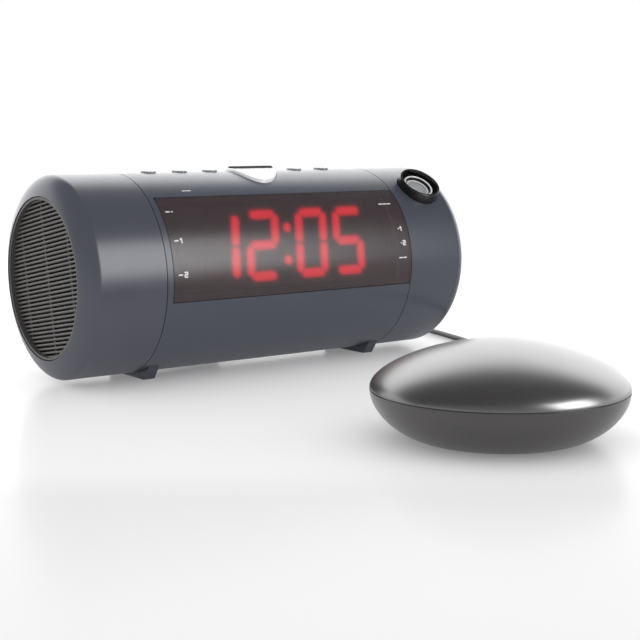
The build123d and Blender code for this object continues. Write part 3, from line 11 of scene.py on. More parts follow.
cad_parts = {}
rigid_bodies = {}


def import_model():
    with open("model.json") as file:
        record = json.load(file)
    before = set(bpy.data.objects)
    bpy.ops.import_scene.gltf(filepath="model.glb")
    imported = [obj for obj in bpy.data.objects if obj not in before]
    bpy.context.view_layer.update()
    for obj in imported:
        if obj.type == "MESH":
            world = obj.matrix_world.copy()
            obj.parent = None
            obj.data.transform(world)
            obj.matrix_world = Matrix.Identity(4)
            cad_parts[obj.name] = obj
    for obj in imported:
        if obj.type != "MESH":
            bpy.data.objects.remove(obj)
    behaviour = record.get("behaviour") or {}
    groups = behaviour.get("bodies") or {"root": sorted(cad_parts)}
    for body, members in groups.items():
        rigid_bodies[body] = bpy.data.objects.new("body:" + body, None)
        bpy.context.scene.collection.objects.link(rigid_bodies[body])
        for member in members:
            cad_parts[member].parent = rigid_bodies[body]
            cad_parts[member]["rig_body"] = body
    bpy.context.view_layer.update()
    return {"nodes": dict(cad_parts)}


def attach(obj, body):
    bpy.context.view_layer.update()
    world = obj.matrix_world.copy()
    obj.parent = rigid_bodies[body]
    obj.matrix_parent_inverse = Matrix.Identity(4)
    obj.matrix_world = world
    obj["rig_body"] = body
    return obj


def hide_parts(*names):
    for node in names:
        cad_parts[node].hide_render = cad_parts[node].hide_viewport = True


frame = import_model()

# Lengths below are millimetres in the part's own frame, and this turns them into metres
MM = 0.001

# Driving dimensions of the clock and its shaker, as the part has them
BARREL_RADIUS = 50.0
AXIS_Y = 110.55
AXIS_Z = 52.0
RIM_X = -119.25
TIP_X = 119.25
SHAKER = (-25.4, -109.35)
SHAKER_RADIUS = 51.2
SHAKER_HEIGHT = 39.6
SHAKER_SEAM = 20.4
CORD_RADIUS = 1.5


def facing(angle):
    """Unit vector out of the barrel at an angle from the top towards the front, in degrees."""
    return np.array([0.0, -sin(radians(angle)), cos(radians(angle))])


def on_barrel(x, angle, radius):
    """Points in metres round the barrel, from arrays of x, angle in degrees, and radius.

    Each lies forward of the axis by the radius times the angle's sine, and over it by the cosine.
    """
    x, angle, radius = np.broadcast_arrays(x, np.radians(angle), radius)
    y = AXIS_Y - radius * np.sin(angle)
    z = AXIS_Z + radius * np.cos(angle)
    return np.stack([x, y, z], axis=-1) * MM


# Camera: a long lens, turned to its right and tipped down, its place in the part's millimetres
CAMERA_PLACE = (-386.5, -487.36, 116.35)
CAMERA_TURN = -35.94
CAMERA_TIP = 7.57
CAMERA_ROLL = -0.37
CAMERA_LENS = 74.94
SENSOR_WIDTH = 36.0


def place_camera():
    """Builds the camera's axes from its turn, its tip and its roll."""
    turn, tip, roll = (radians(v) for v in (CAMERA_TURN, CAMERA_TIP, CAMERA_ROLL))
    forward = Vector((-sin(turn) * cos(tip), cos(turn) * cos(tip), -sin(tip)))
    level = Vector((cos(turn), sin(turn), 0))
    upright = level.cross(forward)
    right = level * cos(roll) + upright * sin(roll)
    up = right.cross(forward)
    data = bpy.data.cameras.new("camera")
    data.lens = CAMERA_LENS
    data.sensor_width = SENSOR_WIDTH
    camera = bpy.data.objects.new("camera", data)
    camera.matrix_world = Matrix(
        (
            (right.x, up.x, -forward.x, CAMERA_PLACE[0] * MM),
            (right.y, up.y, -forward.y, CAMERA_PLACE[1] * MM),
            (right.z, up.z, -forward.z, CAMERA_PLACE[2] * MM),
            (0, 0, 0, 1),
        )
    )
    bpy.context.scene.collection.objects.link(camera)
    bpy.context.scene.camera = camera


place_camera()

# Cord: one spline from the plug, down into the coil, out of it and round to the shaker
COIL_MIDDLE_RADIUS = 17.5
COIL_PITCH = 3.6
COIL_TURNS_PER_LAYER = 3
COIL_LAYERS = 4
COIL_X = 3.0
COIL_LOW_Z = 2.3
COIL_BEHIND_BARREL = 2.5
COIL_HIGH_RADIUS = COIL_MIDDLE_RADIUS + COIL_TURNS_PER_LAYER * COIL_PITCH / 2
COIL_Y = AXIS_Y + BARREL_RADIUS + COIL_BEHIND_BARREL + COIL_HIGH_RADIUS + CORD_RADIUS
COIL_TURNS = COIL_TURNS_PER_LAYER * COIL_LAYERS
POINTS_PER_TURN = 24
# The share of a turn, at each end of the coil, that the lead and the tail take over
COIL_CUT = 0.25
LEAD_POINTS = [
    (44.0, 163.65, 39.0),
    (44.0, 163.65, 27.0),
    (40.5, 164.0, 18.4),
    (31.5, 164.9, 13.9),
    (19.5, 165.45, 13.1),
]
TAIL_POINTS = [
    (29.0, 209.45, 2.3),
    (53.5, 209.0, 1.7),
    (81.5, 206.2, 1.55),
    (110.0, 197.5, 1.55),
    (134.0, 180.5, 1.55),
    (146.5, 157.0, 1.55),
    (145.6, 131.5, 1.55),
    (138.2, 103.5, 1.55),
    (131.5, 78.0, 1.55),
    (118.0, 54.5, 1.55),
    (100.5, 31.0, 1.55),
    (81.5, 7.0, 1.55),
    (65.0, -13.5, 1.8),
    (52.0, -29.5, 4.4),
    (41.0, -42.0, 9.4),
    (30.603, -53.347, 14.0),
    (22.118, -61.832, 14.0),
]


def coil_points():
    """The coil's turns, from its end on top to its start below.

    The radius falls by a pitch each turn and rises again in the next layer, and the height
    climbs a layer in the half turn round each change.
    """
    steps = int((COIL_TURNS - 2 * COIL_CUT) * POINTS_PER_TURN)
    turn = COIL_TURNS - COIL_CUT - np.arange(steps + 1) / POINTS_PER_TURN
    period = 2 * COIL_TURNS_PER_LAYER
    fold = COIL_TURNS_PER_LAYER - np.abs(turn % period - COIL_TURNS_PER_LAYER)
    radius = COIL_HIGH_RADIUS - COIL_PITCH * fold
    change = turn / COIL_TURNS_PER_LAYER
    nearest = np.clip(np.round(change), 1, COIL_LAYERS - 1)
    gone = np.clip((change - nearest) * 2 * COIL_TURNS_PER_LAYER + 0.5, 0, 1)
    layer = nearest - 1 + gone * gone * (3 - 2 * gone)
    angle = 2 * pi * turn
    x = COIL_X + radius * np.cos(angle)
    y = COIL_Y + radius * np.sin(angle)
    return np.stack([x, y, COIL_LOW_Z + COIL_PITCH * layer], axis=-1)


def make_cord():
    """The whole cord as one smooth spline, from its listed points and the coil's turns.

    Its thickness is in the points' radius, which the bevel's depth of one leaves as it is.
    """
    points = np.concatenate([LEAD_POINTS, coil_points(), TAIL_POINTS]) * MM
    data = bpy.data.curves.new("shaker_cord", "CURVE")
    data.dimensions = "3D"
    spline = data.splines.new("NURBS")
    spline.points.add(len(points) - 1)
    spline.points.foreach_set("co", np.c_[points, np.ones(len(points))].ravel())
    spline.points.foreach_set("radius", np.full(len(points), CORD_RADIUS * MM))
    spline.order_u = 3
    spline.use_endpoint_u = True
    spline.resolution_u = 3
    data.bevel_depth = 1.0
    data.bevel_resolution = 3
    cord = bpy.data.objects.new("shaker_cord", data)
    bpy.context.scene.collection.objects.link(cord)
    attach(cord, "clock")
    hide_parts("cord_lead", "cord_coil", "cord_tail")
    return cord


cord = make_cord()


# Shader helpers
def new_finish(name):
    """An empty procedural material with a principled surface."""
    material = bpy.data.materials.new(name)
    material.use_nodes = True
    tree = material.node_tree
    surface = tree.nodes["Principled BSDF"]
    return material, tree, surface


def add_node(tree, kind, **values):
    """A node of a kind, with its plain settings and its sockets' values set by name."""
    node = tree.nodes.new(kind)
    for name, value in values.items():
        if hasattr(node, name):
            setattr(node, name, value)
        else:
            node.inputs[name.replace("_", " ")].default_value = value
    return node


def place_of(tree, stretch=(1, 1, 1)):
    """Object coordinates, stretched for a pattern."""
    place = add_node(tree, "ShaderNodeTexCoord")
    mapping = add_node(tree, "ShaderNodeMapping")
    mapping.inputs["Scale"].default_value = stretch
    tree.links.new(place.outputs["Object"], mapping.inputs["Vector"])
    return mapping.outputs["Vector"]


def noise(tree, vector, scale, detail=3.0):
    """Fractal noise on a pattern's coordinates."""
    node = add_node(tree, "ShaderNodeTexNoise", Scale=scale, Detail=detail, Roughness=0.55)
    tree.links.new(vector, node.inputs["Vector"])
    return node.outputs["Fac"]


def spread(tree, value, low, high):
    """A value from 0 to 1, spread between two numbers."""
    node = add_node(tree, "ShaderNodeMapRange")
    node.inputs["To Min"].default_value = low
    node.inputs["To Max"].default_value = high
    tree.links.new(value, node.inputs["Value"])
    return node.outputs["Result"]


def ranged(tree, value, span, low, high):
    """A value taken smoothly from one number to another as it crosses a span."""
    node = add_node(tree, "ShaderNodeMapRange", interpolation_type="SMOOTHSTEP")
    node.inputs["From Min"].default_value, node.inputs["From Max"].default_value = span
    node.inputs["To Min"].default_value = low
    node.inputs["To Max"].default_value = high
    tree.links.new(value, node.inputs["Value"])
    return node.outputs["Result"]


def worked(tree, operation, *values):
    """A sum, product or other work of two values."""
    node = add_node(tree, "ShaderNodeMath", operation=operation)
    for value, socket in zip(values, node.inputs):
        tree.links.new(value, socket)
    return node.outputs[0]


def blended(tree, share, low, high):
    """One shader where a share is 0, which turns into another where it is 1."""
    node = add_node(tree, "ShaderNodeMixShader")
    for output, socket in zip((share, low, high), node.inputs):
        tree.links.new(output, socket)
    return node.outputs[0]


def shade_of(tree, value, dark, light):
    """A colour between two, by a value from 0 to 1."""
    node = add_node(tree, "ShaderNodeMix", data_type="RGBA")
    node.inputs[6].default_value = (*dark, 1)
    node.inputs[7].default_value = (*light, 1)
    tree.links.new(value, node.inputs["Factor"])
    return node.outputs[2]


def relief(tree, surface, height, depth, strength=1.0):
    """Bumps the surface by a height from 0 to 1, times a depth in metres."""
    node = add_node(tree, "ShaderNodeBump")
    node.inputs["Strength"].default_value = strength
    node.inputs["Distance"].default_value = depth
    tree.links.new(height, node.inputs["Height"])
    tree.links.new(node.outputs["Normal"], surface.inputs["Normal"])


def tinted(colour, amount):
    """The colour, made a little darker and a little lighter."""
    return [tuple(c * (1 + side * amount) for c in colour) for side in (-1, 1)]


def moulded_plastic(
    name, colour, roughness, grain=2500.0, depth=0.00002, mottle=0.05, specular=0.5, bend=1.5
):
    """Moulded plastic: faint blotches of tone and gloss, and a fine spark-eroded grain."""
    material, tree, surface = new_finish(name)
    place = place_of(tree)
    blotch = noise(tree, place, scale=38.0)
    dark, light = tinted(colour, mottle)
    tree.links.new(shade_of(tree, blotch, dark, light), surface.inputs["Base Color"])
    gloss = spread(tree, noise(tree, place, scale=120.0), roughness * 0.9, roughness * 1.1)
    tree.links.new(gloss, surface.inputs["Roughness"])
    surface.inputs["Specular IOR Level"].default_value = specular
    surface.inputs["IOR"].default_value = bend
    relief(tree, surface, noise(tree, place, grain, detail=1.0), depth, strength=0.35)
    return material


def brushed(name, colour, roughness):
    """Metal with fine lines along the barrel."""
    material, tree, surface = new_finish(name)
    place = place_of(tree, stretch=(40, 2500, 2500))
    lines = noise(tree, place, scale=1.0, detail=2.0)
    dark, light = tinted(colour, 0.12)
    tree.links.new(shade_of(tree, lines, dark, light), surface.inputs["Base Color"])
    gloss = spread(tree, lines, roughness * 0.8, roughness * 1.3)
    tree.links.new(gloss, surface.inputs["Roughness"])
    surface.inputs["Metallic"].default_value = 1.0
    relief(tree, surface, lines, depth=0.00001, strength=0.3)
    return material


def scrim(name, colour):
    """Black speaker cloth: two crossing sets of threads, a third of a millimetre apart."""
    material, tree, surface = new_finish(name)
    heights = []
    for axis in ("Y", "Z"):
        wave = add_node(tree, "ShaderNodeTexWave", bands_direction=axis, Scale=900.0)
        tree.links.new(place_of(tree), wave.inputs["Vector"])
        heights.append(wave.outputs["Fac"])
    weave = worked(tree, "MULTIPLY", *heights)
    dark, light = tinted(colour, 0.6)
    tree.links.new(shade_of(tree, weave, dark, light), surface.inputs["Base Color"])
    surface.inputs["Roughness"].default_value = 0.95
    surface.inputs["Sheen Weight"].default_value = 0.2
    relief(tree, surface, weave, depth=0.0002)
    return material


def smoked_pane(name, colour, cover):
    """Smoked window plastic: a dark gloss, clear enough for the lit bars to shine through."""
    material, tree, surface = new_finish(name)
    place = place_of(tree)
    dark, light = tinted(colour, 0.08)
    tone = shade_of(tree, noise(tree, place, scale=18.0), dark, light)
    tree.links.new(tone, surface.inputs["Base Color"])
    gloss = spread(tree, noise(tree, place, scale=300.0), 0.27, 0.33)
    tree.links.new(gloss, surface.inputs["Roughness"])
    surface.inputs["Alpha"].default_value = cover
    ripple = noise(tree, place, scale=60.0, detail=1.0)
    relief(tree, surface, ripple, depth=0.00003, strength=0.2)
    return material


def glowing(name, colour, strength):
    """A lit bar: red light, a little uneven over its diffuser."""
    material, tree, surface = new_finish(name)
    place = place_of(tree)
    dark, light = tinted(colour, 0.12)
    tone = shade_of(tree, noise(tree, place, scale=160.0), dark, light)
    tree.links.new(tone, surface.inputs["Base Color"])
    tree.links.new(tone, surface.inputs["Emission Color"])
    surface.inputs["Emission Strength"].default_value = strength
    surface.inputs["Roughness"].default_value = 0.6
    return material


def haloed(name, colour, strength):
    """Red light over the lit bars, by the glow attribute, and clear where that is nil."""
    material, tree, surface = new_finish(name)
    place = place_of(tree)
    dark, light = tinted(colour, 0.06)
    tone = shade_of(tree, noise(tree, place, scale=120.0), dark, light)
    tree.links.new(tone, surface.inputs["Emission Color"])
    surface.inputs["Emission Strength"].default_value = strength
    surface.inputs["Base Color"].default_value = (0.02, 0, 0, 1)
    surface.inputs["Roughness"].default_value = 0.6
    glow = add_node(tree, "ShaderNodeAttribute", attribute_name="glow")
    tree.links.new(glow.outputs["Fac"], surface.inputs["Alpha"])
    return material


def clear_glass(name, roughness, clear=1.0):
    """Optical plastic with the faintest ripple, as clear as asked."""
    material, tree, surface = new_finish(name)
    surface.inputs["Base Color"].default_value = (0.93, 0.96, 0.98, 1)
    surface.inputs["Transmission Weight"].default_value = clear
    surface.inputs["IOR"].default_value = 1.49
    place = place_of(tree)
    gloss = spread(tree, noise(tree, place, scale=400.0), roughness, roughness * 2)
    tree.links.new(gloss, surface.inputs["Roughness"])
    return material


def circuit_board(name):
    """Green solder mask with a lattice of tracks."""
    material, tree, surface = new_finish(name)
    tracks = add_node(tree, "ShaderNodeTexBrick", Scale=160.0)
    tracks.inputs["Color1"].default_value = (0.02, 0.12, 0.05, 1)
    tracks.inputs["Color2"].default_value = (0.025, 0.15, 0.06, 1)
    tracks.inputs["Mortar"].default_value = (0.05, 0.24, 0.10, 1)
    tree.links.new(place_of(tree), tracks.inputs["Vector"])
    tree.links.new(tracks.outputs["Color"], surface.inputs["Base Color"])
    surface.inputs["Roughness"].default_value = 0.35
    return material


def pressed_paper(name, colour):
    """Loudspeaker paper: matt, with fibres."""
    material, tree, surface = new_finish(name)
    place = place_of(tree)
    fibre = noise(tree, place, scale=1400.0, detail=4.0)
    dark, light = tinted(colour, 0.4)
    tree.links.new(shade_of(tree, fibre, dark, light), surface.inputs["Base Color"])
    surface.inputs["Roughness"].default_value = 0.9
    relief(tree, surface, fibre, depth=0.0001)
    return material


# Depths of grain in metres, each finer than moulded plastic's usual one
FINE_GRAIN = 0.000008
SATIN_GRAIN = 0.000004
POLISHED = 0.000003
# One finish for each material of the clock, by the name that the pieces below ask for
FINISHES = {
    "slate": moulded_plastic(
        "slate_plastic", (0.069, 0.076, 0.101), 0.3, depth=FINE_GRAIN, specular=0.37
    ),
    # The end cap's slate is the barrel's, made a little lighter: painted light for the cap's tone
    "lightened_slate": moulded_plastic(
        "lightened_slate_plastic", (0.076, 0.080, 0.103), 0.3, depth=FINE_GRAIN, specular=0.37
    ),
    "button": moulded_plastic("button_plastic", (0.34, 0.345, 0.36), 0.4),
    "grille": moulded_plastic("grille_plastic", (0.075, 0.07, 0.067), 0.45),
    "black": moulded_plastic("black_plastic", (0.012, 0.012, 0.013), 0.4),
    "gloss_black": moulded_plastic(
        "gloss_black_plastic", (0.010, 0.010, 0.011), 0.16, depth=POLISHED
    ),
    "natural": moulded_plastic("natural_plastic", (0.42, 0.42, 0.39), 0.5),
    "silver": moulded_plastic(
        "silver_plastic", (0.93, 0.93, 0.94), 0.3, depth=SATIN_GRAIN, mottle=0.02
    ),
    "shaker": moulded_plastic(
        "shaker_plastic", (0.032, 0.029, 0.028), 0.26, depth=SATIN_GRAIN, specular=0.9
    ),
    "shaker_gloss": moulded_plastic(
        "shaker_dome_plastic",
        (0.026, 0.023, 0.022),
        0.3,
        depth=SATIN_GRAIN,
        specular=0.9,
        bend=1.85,
    ),
    "print": moulded_plastic("white_print", (0.82, 0.82, 0.82), 0.5),
    "rubber": moulded_plastic(
        "moulded_rubber", (0.022, 0.022, 0.025), 0.65, grain=1600.0, depth=0.00006
    ),
    "jacket": moulded_plastic("cord_jacket", (0.012, 0.012, 0.013), 0.45, grain=1800.0),
    "battery": moulded_plastic("battery_sleeve", (0.06, 0.06, 0.07), 0.3),
    "cloth": scrim("speaker_scrim", (0.02, 0.02, 0.02)),
    "window": smoked_pane("smoked_window", (0.068, 0.047, 0.051), 0.62),
    "lit": glowing("lit_bars", (0.6, 0.01, 0.02), 0.5),
    "unlit": moulded_plastic("unlit_bars", (0.05, 0.02, 0.02), 0.5),
    "glow": haloed("display_glow", (1.0, 0.016, 0.038), 3.9),
    # The lens is only seven tenths clear: its pale diffuse share is a painted reflection, for the
    # lens's whitish look
    "glass": clear_glass("lens_plastic_painted_glint", 0.06, 0.7),
    "film": clear_glass("dial_film", 0.2),
    "steel": brushed("plated_steel", (0.62, 0.61, 0.60), 0.3),
    # Near-white gloss for the painted highlight rings on the lens
    "bright": moulded_plastic("painted_lens_glint", (0.9, 0.9, 0.89), 0.2, depth=POLISHED),
    "brass": brushed("brass", (0.72, 0.53, 0.26), 0.3),
    "magnet": brushed("magnet_plating", (0.4, 0.4, 0.41), 0.4),
    "basket": moulded_plastic("basket_paint", (0.02, 0.02, 0.02), 0.35),
    "paper": pressed_paper("cone_paper", (0.02, 0.019, 0.018)),
    "board": circuit_board("solder_mask"),
}


# Pieces
def new_piece(name, mesh, body, finish, slot, *stands_for):
    """Puts a mesh into the scene as a piece that rides a body and has a finish."""
    piece = bpy.data.objects.new(name, mesh)
    bpy.context.scene.collection.objects.link(piece)
    mesh.materials.clear()
    mesh.materials.append(FINISHES[finish])
    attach(piece, body)
    if stands_for:
        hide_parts(*stands_for)
    return piece


def grid_mesh(name, points, closed=False):
    """A mesh of quads from a grid of points, joined round both ways where it is closed."""
    rows, columns = points.shape[:2]
    number = np.arange(rows * columns).reshape(rows, columns)
    if closed:
        number = np.pad(number, (0, 1), mode="wrap")
    quads = np.stack(
        [number[:-1, :-1], number[1:, :-1], number[1:, 1:], number[:-1, 1:]], axis=-1
    ).reshape(-1, 4)
    mesh = bpy.data.meshes.new(name)
    mesh.from_pydata(points.reshape(-1, 3), [], quads)
    mesh.update()
    mesh.shade_smooth()
    return mesh


def crease(shape, angle):
    """Leaves an edge smooth only where its two faces meet at less than an angle in degrees."""
    shape.normal_update()
    for edge in shape.edges:
        edge.smooth = edge.is_manifold and edge.calc_face_angle() < radians(angle)


# Turned rings have this many sides, and keep edges where faces meet at more than this angle
RING_SEGMENTS = 96
RING_EDGE = 35.0


def turned_mesh(name, profile, place, axis):
    """A closed profile of (distance along the axis, radius), turned round the axis at place.

    The axis is a unit vector square to x.
    """
    side = np.cross(axis, (1.0, 0.0, 0.0))
    third = np.cross(axis, side)
    angle = np.arange(RING_SEGMENTS) * 2 * pi / RING_SEGMENTS
    ring = np.cos(angle)[:, None] * side + np.sin(angle)[:, None] * third
    along, radius = np.array(profile, float).T
    points = along[:, None, None] * axis + radius[:, None, None] * ring[None]
    mesh = grid_mesh(name, (points + place) * MM, closed=True)
    shape = bmesh.new()
    shape.from_mesh(mesh)
    bmesh.ops.remove_doubles(shape, verts=shape.verts, dist=1e-7)
    bmesh.ops.recalc_face_normals(shape, faces=shape.faces)
    crease(shape, RING_EDGE)
    shape.to_mesh(mesh)
    shape.free()
    return mesh


def round_barrel(points):
    """Direction of the barrel's surface: straight out from its axis."""
    out = points - np.array([0, AXIS_Y, AXIS_Z]) * MM
    out[:, 0] = 0
    return out


def round_end(centre_x, depth, drop):
    """Direction of a barrel end whose edge is a quarter ellipse: steeper as it falls to the end.

    Inside the ellipse's span the direction is the ellipse's own, from the squares of its two half
    axes, and before it the direction is straight out.
    """

    def direction(points):
        out = round_barrel(points)
        radius = np.linalg.norm(out, axis=1)
        radial = out / np.maximum(radius, 1e-9)[:, None]
        along = points[:, 0] / MM - centre_x
        along = np.where(along * np.sign(centre_x) > 0, along, 0)
        rise = np.maximum(radius / MM - (BARREL_RADIUS - drop), 0)
        way = radial * (rise / drop**2)[:, None]
        way[:, 0] = along / depth**2
        return way

    return direction


# Facets that meet at less than one angle shade smooth, and corners take the true surface's
# direction where it is within the other of their face's own, both in degrees
FACET_EDGE = 30.0
LAY_LIMIT = 12.0


def true_directions(mesh, lay):
    """Each face corner's direction: the true surface's where that is near the face's own."""
    points = np.empty(len(mesh.vertices) * 3, np.float32)
    mesh.vertices.foreach_get("co", points)
    corners = np.empty(len(mesh.loops), np.int32)
    mesh.loops.foreach_get("vertex_index", corners)
    own = np.empty(len(mesh.loops) * 3, np.float32)
    mesh.corner_normals.foreach_get("vector", own)
    own = own.reshape(-1, 3).astype(float)
    flat = np.empty(len(mesh.polygons) * 3, np.float32)
    mesh.polygon_normals.foreach_get("vector", flat)
    sizes = np.empty(len(mesh.polygons), np.int32)
    mesh.polygons.foreach_get("loop_total", sizes)
    flat = np.repeat(flat.reshape(-1, 3).astype(float), sizes, axis=0)
    wanted = lay(points.reshape(-1, 3)[corners].astype(float))
    wanted /= np.maximum(np.linalg.norm(wanted, axis=1), 1e-12)[:, None]
    agree = (wanted * flat).sum(axis=1)
    wanted *= np.sign(agree)[:, None]
    close = np.abs(agree) > cos(radians(LAY_LIMIT))
    return np.where(close[:, None], wanted, own)


def skin(node, finish, slot, lay=None):
    """A merged copy of a CAD node, shaded as the curves that its facets stand for.

    lay gives the true surface's direction at points, where that surface is a known curve.
    """
    shape = bmesh.new()
    shape.from_mesh(frame["nodes"][node].data)
    bmesh.ops.remove_doubles(shape, verts=shape.verts, dist=1e-6)
    crease(shape, FACET_EDGE)
    mesh = bpy.data.meshes.new(f"{node}_skin")
    shape.to_mesh(mesh)
    shape.free()
    mesh.shade_smooth()
    # The node's own directions are its facets', and would hide the smooth ones
    imported = mesh.attributes.get("custom_normal")
    if imported:
        mesh.attributes.remove(imported)
    if lay is not None:
        mesh.normals_split_custom_set(true_directions(mesh, lay).tolist())
    body = frame["nodes"][node]["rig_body"]
    return new_piece(f"{node}_skin", mesh, body, finish, slot, node)


def paint(finish, *names):
    """Gives CAD nodes a finish in place of their plain one."""
    for name in names:
        slots = frame["nodes"][name].data.materials
        slots.clear()
        slots.append(FINISHES[finish])


# Half axes of the roundings at the barrel's ends, along it and down; the rim cuts the left one
SHOULDER_DEPTH = 9.5
SHOULDER_DROP = 24.3
SHOULDER_TO_RIM = 7.71
HEAD_DEPTH = 14.7
HEAD_DROP = 35.7


def dress_housing():
    """The clock's outer mouldings, shaded by the barrel's and its ends' true curves."""
    shoulder = round_end(RIM_X + SHOULDER_TO_RIM, SHOULDER_DEPTH, SHOULDER_DROP)
    head = round_end(TIP_X - HEAD_DEPTH, HEAD_DEPTH, HEAD_DROP)
    # The end cap takes the lighter copy of the slate, a painted lightening
    skin("left_end_cap", "lightened_slate", "housing", shoulder)
    skin("barrel_shell", "slate", "housing", round_barrel)
    skin("projector_head", "slate", "housing", head)
    skin("rear_panel", "slate", "housing", round_barrel)
    skin("battery_door", "slate", "housing", round_barrel)
    skin("display_window", "window", "window", round_barrel)
    for number in range(1, 6):
        skin(f"top_button_{number}", "button", "button", round_barrel)
    skin("snooze_bar", "silver", "snooze", round_barrel)
    skin("snooze_grip", "rubber", "grip")
    skin("left_foot", "slate", "rubber")
    skin("right_foot", "slate", "rubber")


# The shaker's base, and where its dome's curve is pulled: up its side, and out along its top
BASE_RADIUS = 26.0
DOME_SIDE_PULL = 0.45
DOME_TOP_PULL = 0.42
# Points worked out along each curve, and about how many of a mesh are set against them at a time
PROFILE_POINTS = 400
BATCH = 4000


def bezier_way(controls):
    """Points of a cubic curve from its four control points, and the way square to it at each."""
    t = np.linspace(0, 1, PROFILE_POINTS)[:, None]
    a, b, c, d = (np.array(p, float) for p in controls)
    points = a * (1 - t) ** 3 + 3 * b * t * (1 - t) ** 2 + 3 * c * t**2 * (1 - t) + d * t**3
    along = 3 * ((b - a) * (1 - t) ** 2 + 2 * (c - b) * t * (1 - t) + (d - c) * t**2)
    return points, np.stack([along[:, 1], -along[:, 0]], axis=-1)


def round_shaker(controls):
    """Direction of a surface turned round the shaker's axis: square to its curve there."""
    profile, square = bezier_way(controls)

    def direction(points):
        offset = points / MM - np.array([*SHAKER, 0])
        radius = np.hypot(offset[:, 0], offset[:, 1])
        place = np.stack([radius, offset[:, 2]], axis=-1)
        nearest = np.concatenate(
            [
                np.argmin(((part[:, None] - profile) ** 2).sum(axis=-1), axis=1)
                for part in np.array_split(place, max(len(place) // BATCH, 1))
            ]
        )
        way = square[nearest]
        radial = offset[:, :2] / np.maximum(radius, 1e-9)[:, None]
        return np.c_[radial * way[:, :1], way[:, 1]]

    return direction


def dress_shaker():
    """The shaker's two shells, shaded by the curves that they are turned from."""
    rise = SHAKER_HEIGHT - SHAKER_SEAM
    dome = [
        (SHAKER_RADIUS, SHAKER_SEAM),
        (SHAKER_RADIUS, SHAKER_SEAM + DOME_SIDE_PULL * rise),
        (DOME_TOP_PULL * SHAKER_RADIUS, SHAKER_HEIGHT),
        (0, SHAKER_HEIGHT),
    ]
    bowl = [
        (BASE_RADIUS, 0),
        ((BASE_RADIUS + SHAKER_RADIUS) / 2, 0),
        (SHAKER_RADIUS, SHAKER_SEAM / 2),
        (SHAKER_RADIUS, SHAKER_SEAM),
    ]
    skin("shaker_top", "shaker_gloss", "shaker", round_shaker(dome))
    skin("shaker_base", "shaker", "shaker", round_shaker(bowl))
    skin("cord_relief", "rubber", "rubber")


def dress_insides():
    """Finishes of the pieces behind the housing, and of the small ones on it."""
    skin("speaker_grille", "grille", "grille")
    paint("cloth", "grille_cloth")
    paint("basket", "speaker_basket")
    paint("magnet", "speaker_magnet")
    paint("paper", "speaker_cone")
    paint("steel", "speaker_screws", "shaker_screws", "shaker_motor", "motor_shaft")
    paint("steel", "off_centre_weight")
    paint("black", "display_block", "tact_switches", "volume_control", "dimmer_switch")
    paint("black", "focus_clip", "projector_tube", "projector_lamp", "dimmer_slider")
    paint("black", "aux_jack", "shaker_jack", "dc_inlet", "cord_tie", "lens_cell")
    paint("board", "display_board", "button_board", "main_board", "jack_board")
    paint("lit", "lit_segments")
    paint("unlit", "dark_segments")
    paint("natural", "right_bulkhead", "hub_plate", "motor_cradle")
    paint("brass", "pivot_washer")
    paint("battery", "backup_battery")
    paint("film", "dial_slide")
    skin("volume_wheel", "black", "component")
    skin("shaker_plug", "rubber", "rubber")
    skin("focus_ring", "gloss_black", "ring")
    skin("projector_lens", "glass", "lens")


dress_housing()
dress_shaker()
dress_insides()
cord.data.materials.append(FINISHES["jacket"])


# Display glow: the soft red light over the lit bars
DISPLAY_ANGLE = 71.0
DISPLAY_X = -1.8
BLOCK_SIZE = (126.0, 41.8)
DIGIT_HEIGHT = 36.6
DIGIT_WIDTH = 20.0
STROKE = 4.8
DIGIT_LEAN = tan(radians(10.0))
DIGIT_PITCH = 23.8
COLON_ROOM = 6.3
COLON_RISE = 8.6
# The lit bars of each digit of 12:05, by letter: a on top, then clockwise to f, and g across
LIT_BARS = ("bc", "abged", "abcdef", "afgcd")
# The glow's distance from the barrel's axis, its half width and fade along a bar, the strength
# below which it is nil, and the cells of its grid
GLOW_HEIGHT = 42.05
GLOW_EDGE = 2.05
GLOW_FADE = 0.6
GLOW_NIL = 0.004
GLOW_CELLS = (378, 126)


def bar_ends(name):
    """The two ends of a bar's middle line, about its digit's middle."""
    side = (DIGIT_WIDTH - STROKE) / 2
    level = (DIGIT_HEIGHT - STROKE) / 2
    if name in "adg":
        y = {"a": level, "d": -level, "g": 0.0}[name]
        return (-side + STROKE / 2, y), (side - STROKE / 2, y)
    x = side if name in "bc" else -side
    low, high = (STROKE / 2, level - STROKE / 2)
    if name in "ce":
        low, high = (-high, -low)
    return (x, low), (x, high)


def lit_lines():
    """Ends of every lit bar's middle line along the block, leaning, and the colon's two dots."""
    lines = []
    for index, lit in enumerate(LIT_BARS):
        step = index - (len(LIT_BARS) - 1) / 2
        middle = step * DIGIT_PITCH + (COLON_ROOM / 2 if step > 0 else -COLON_ROOM / 2)
        for name in lit:
            lines.append([(middle + x + y * DIGIT_LEAN, y) for x, y in bar_ends(name)])
    for y in (COLON_RISE, -COLON_RISE):
        lines.append([(y * DIGIT_LEAN, y)] * 2)
    return np.array(lines)


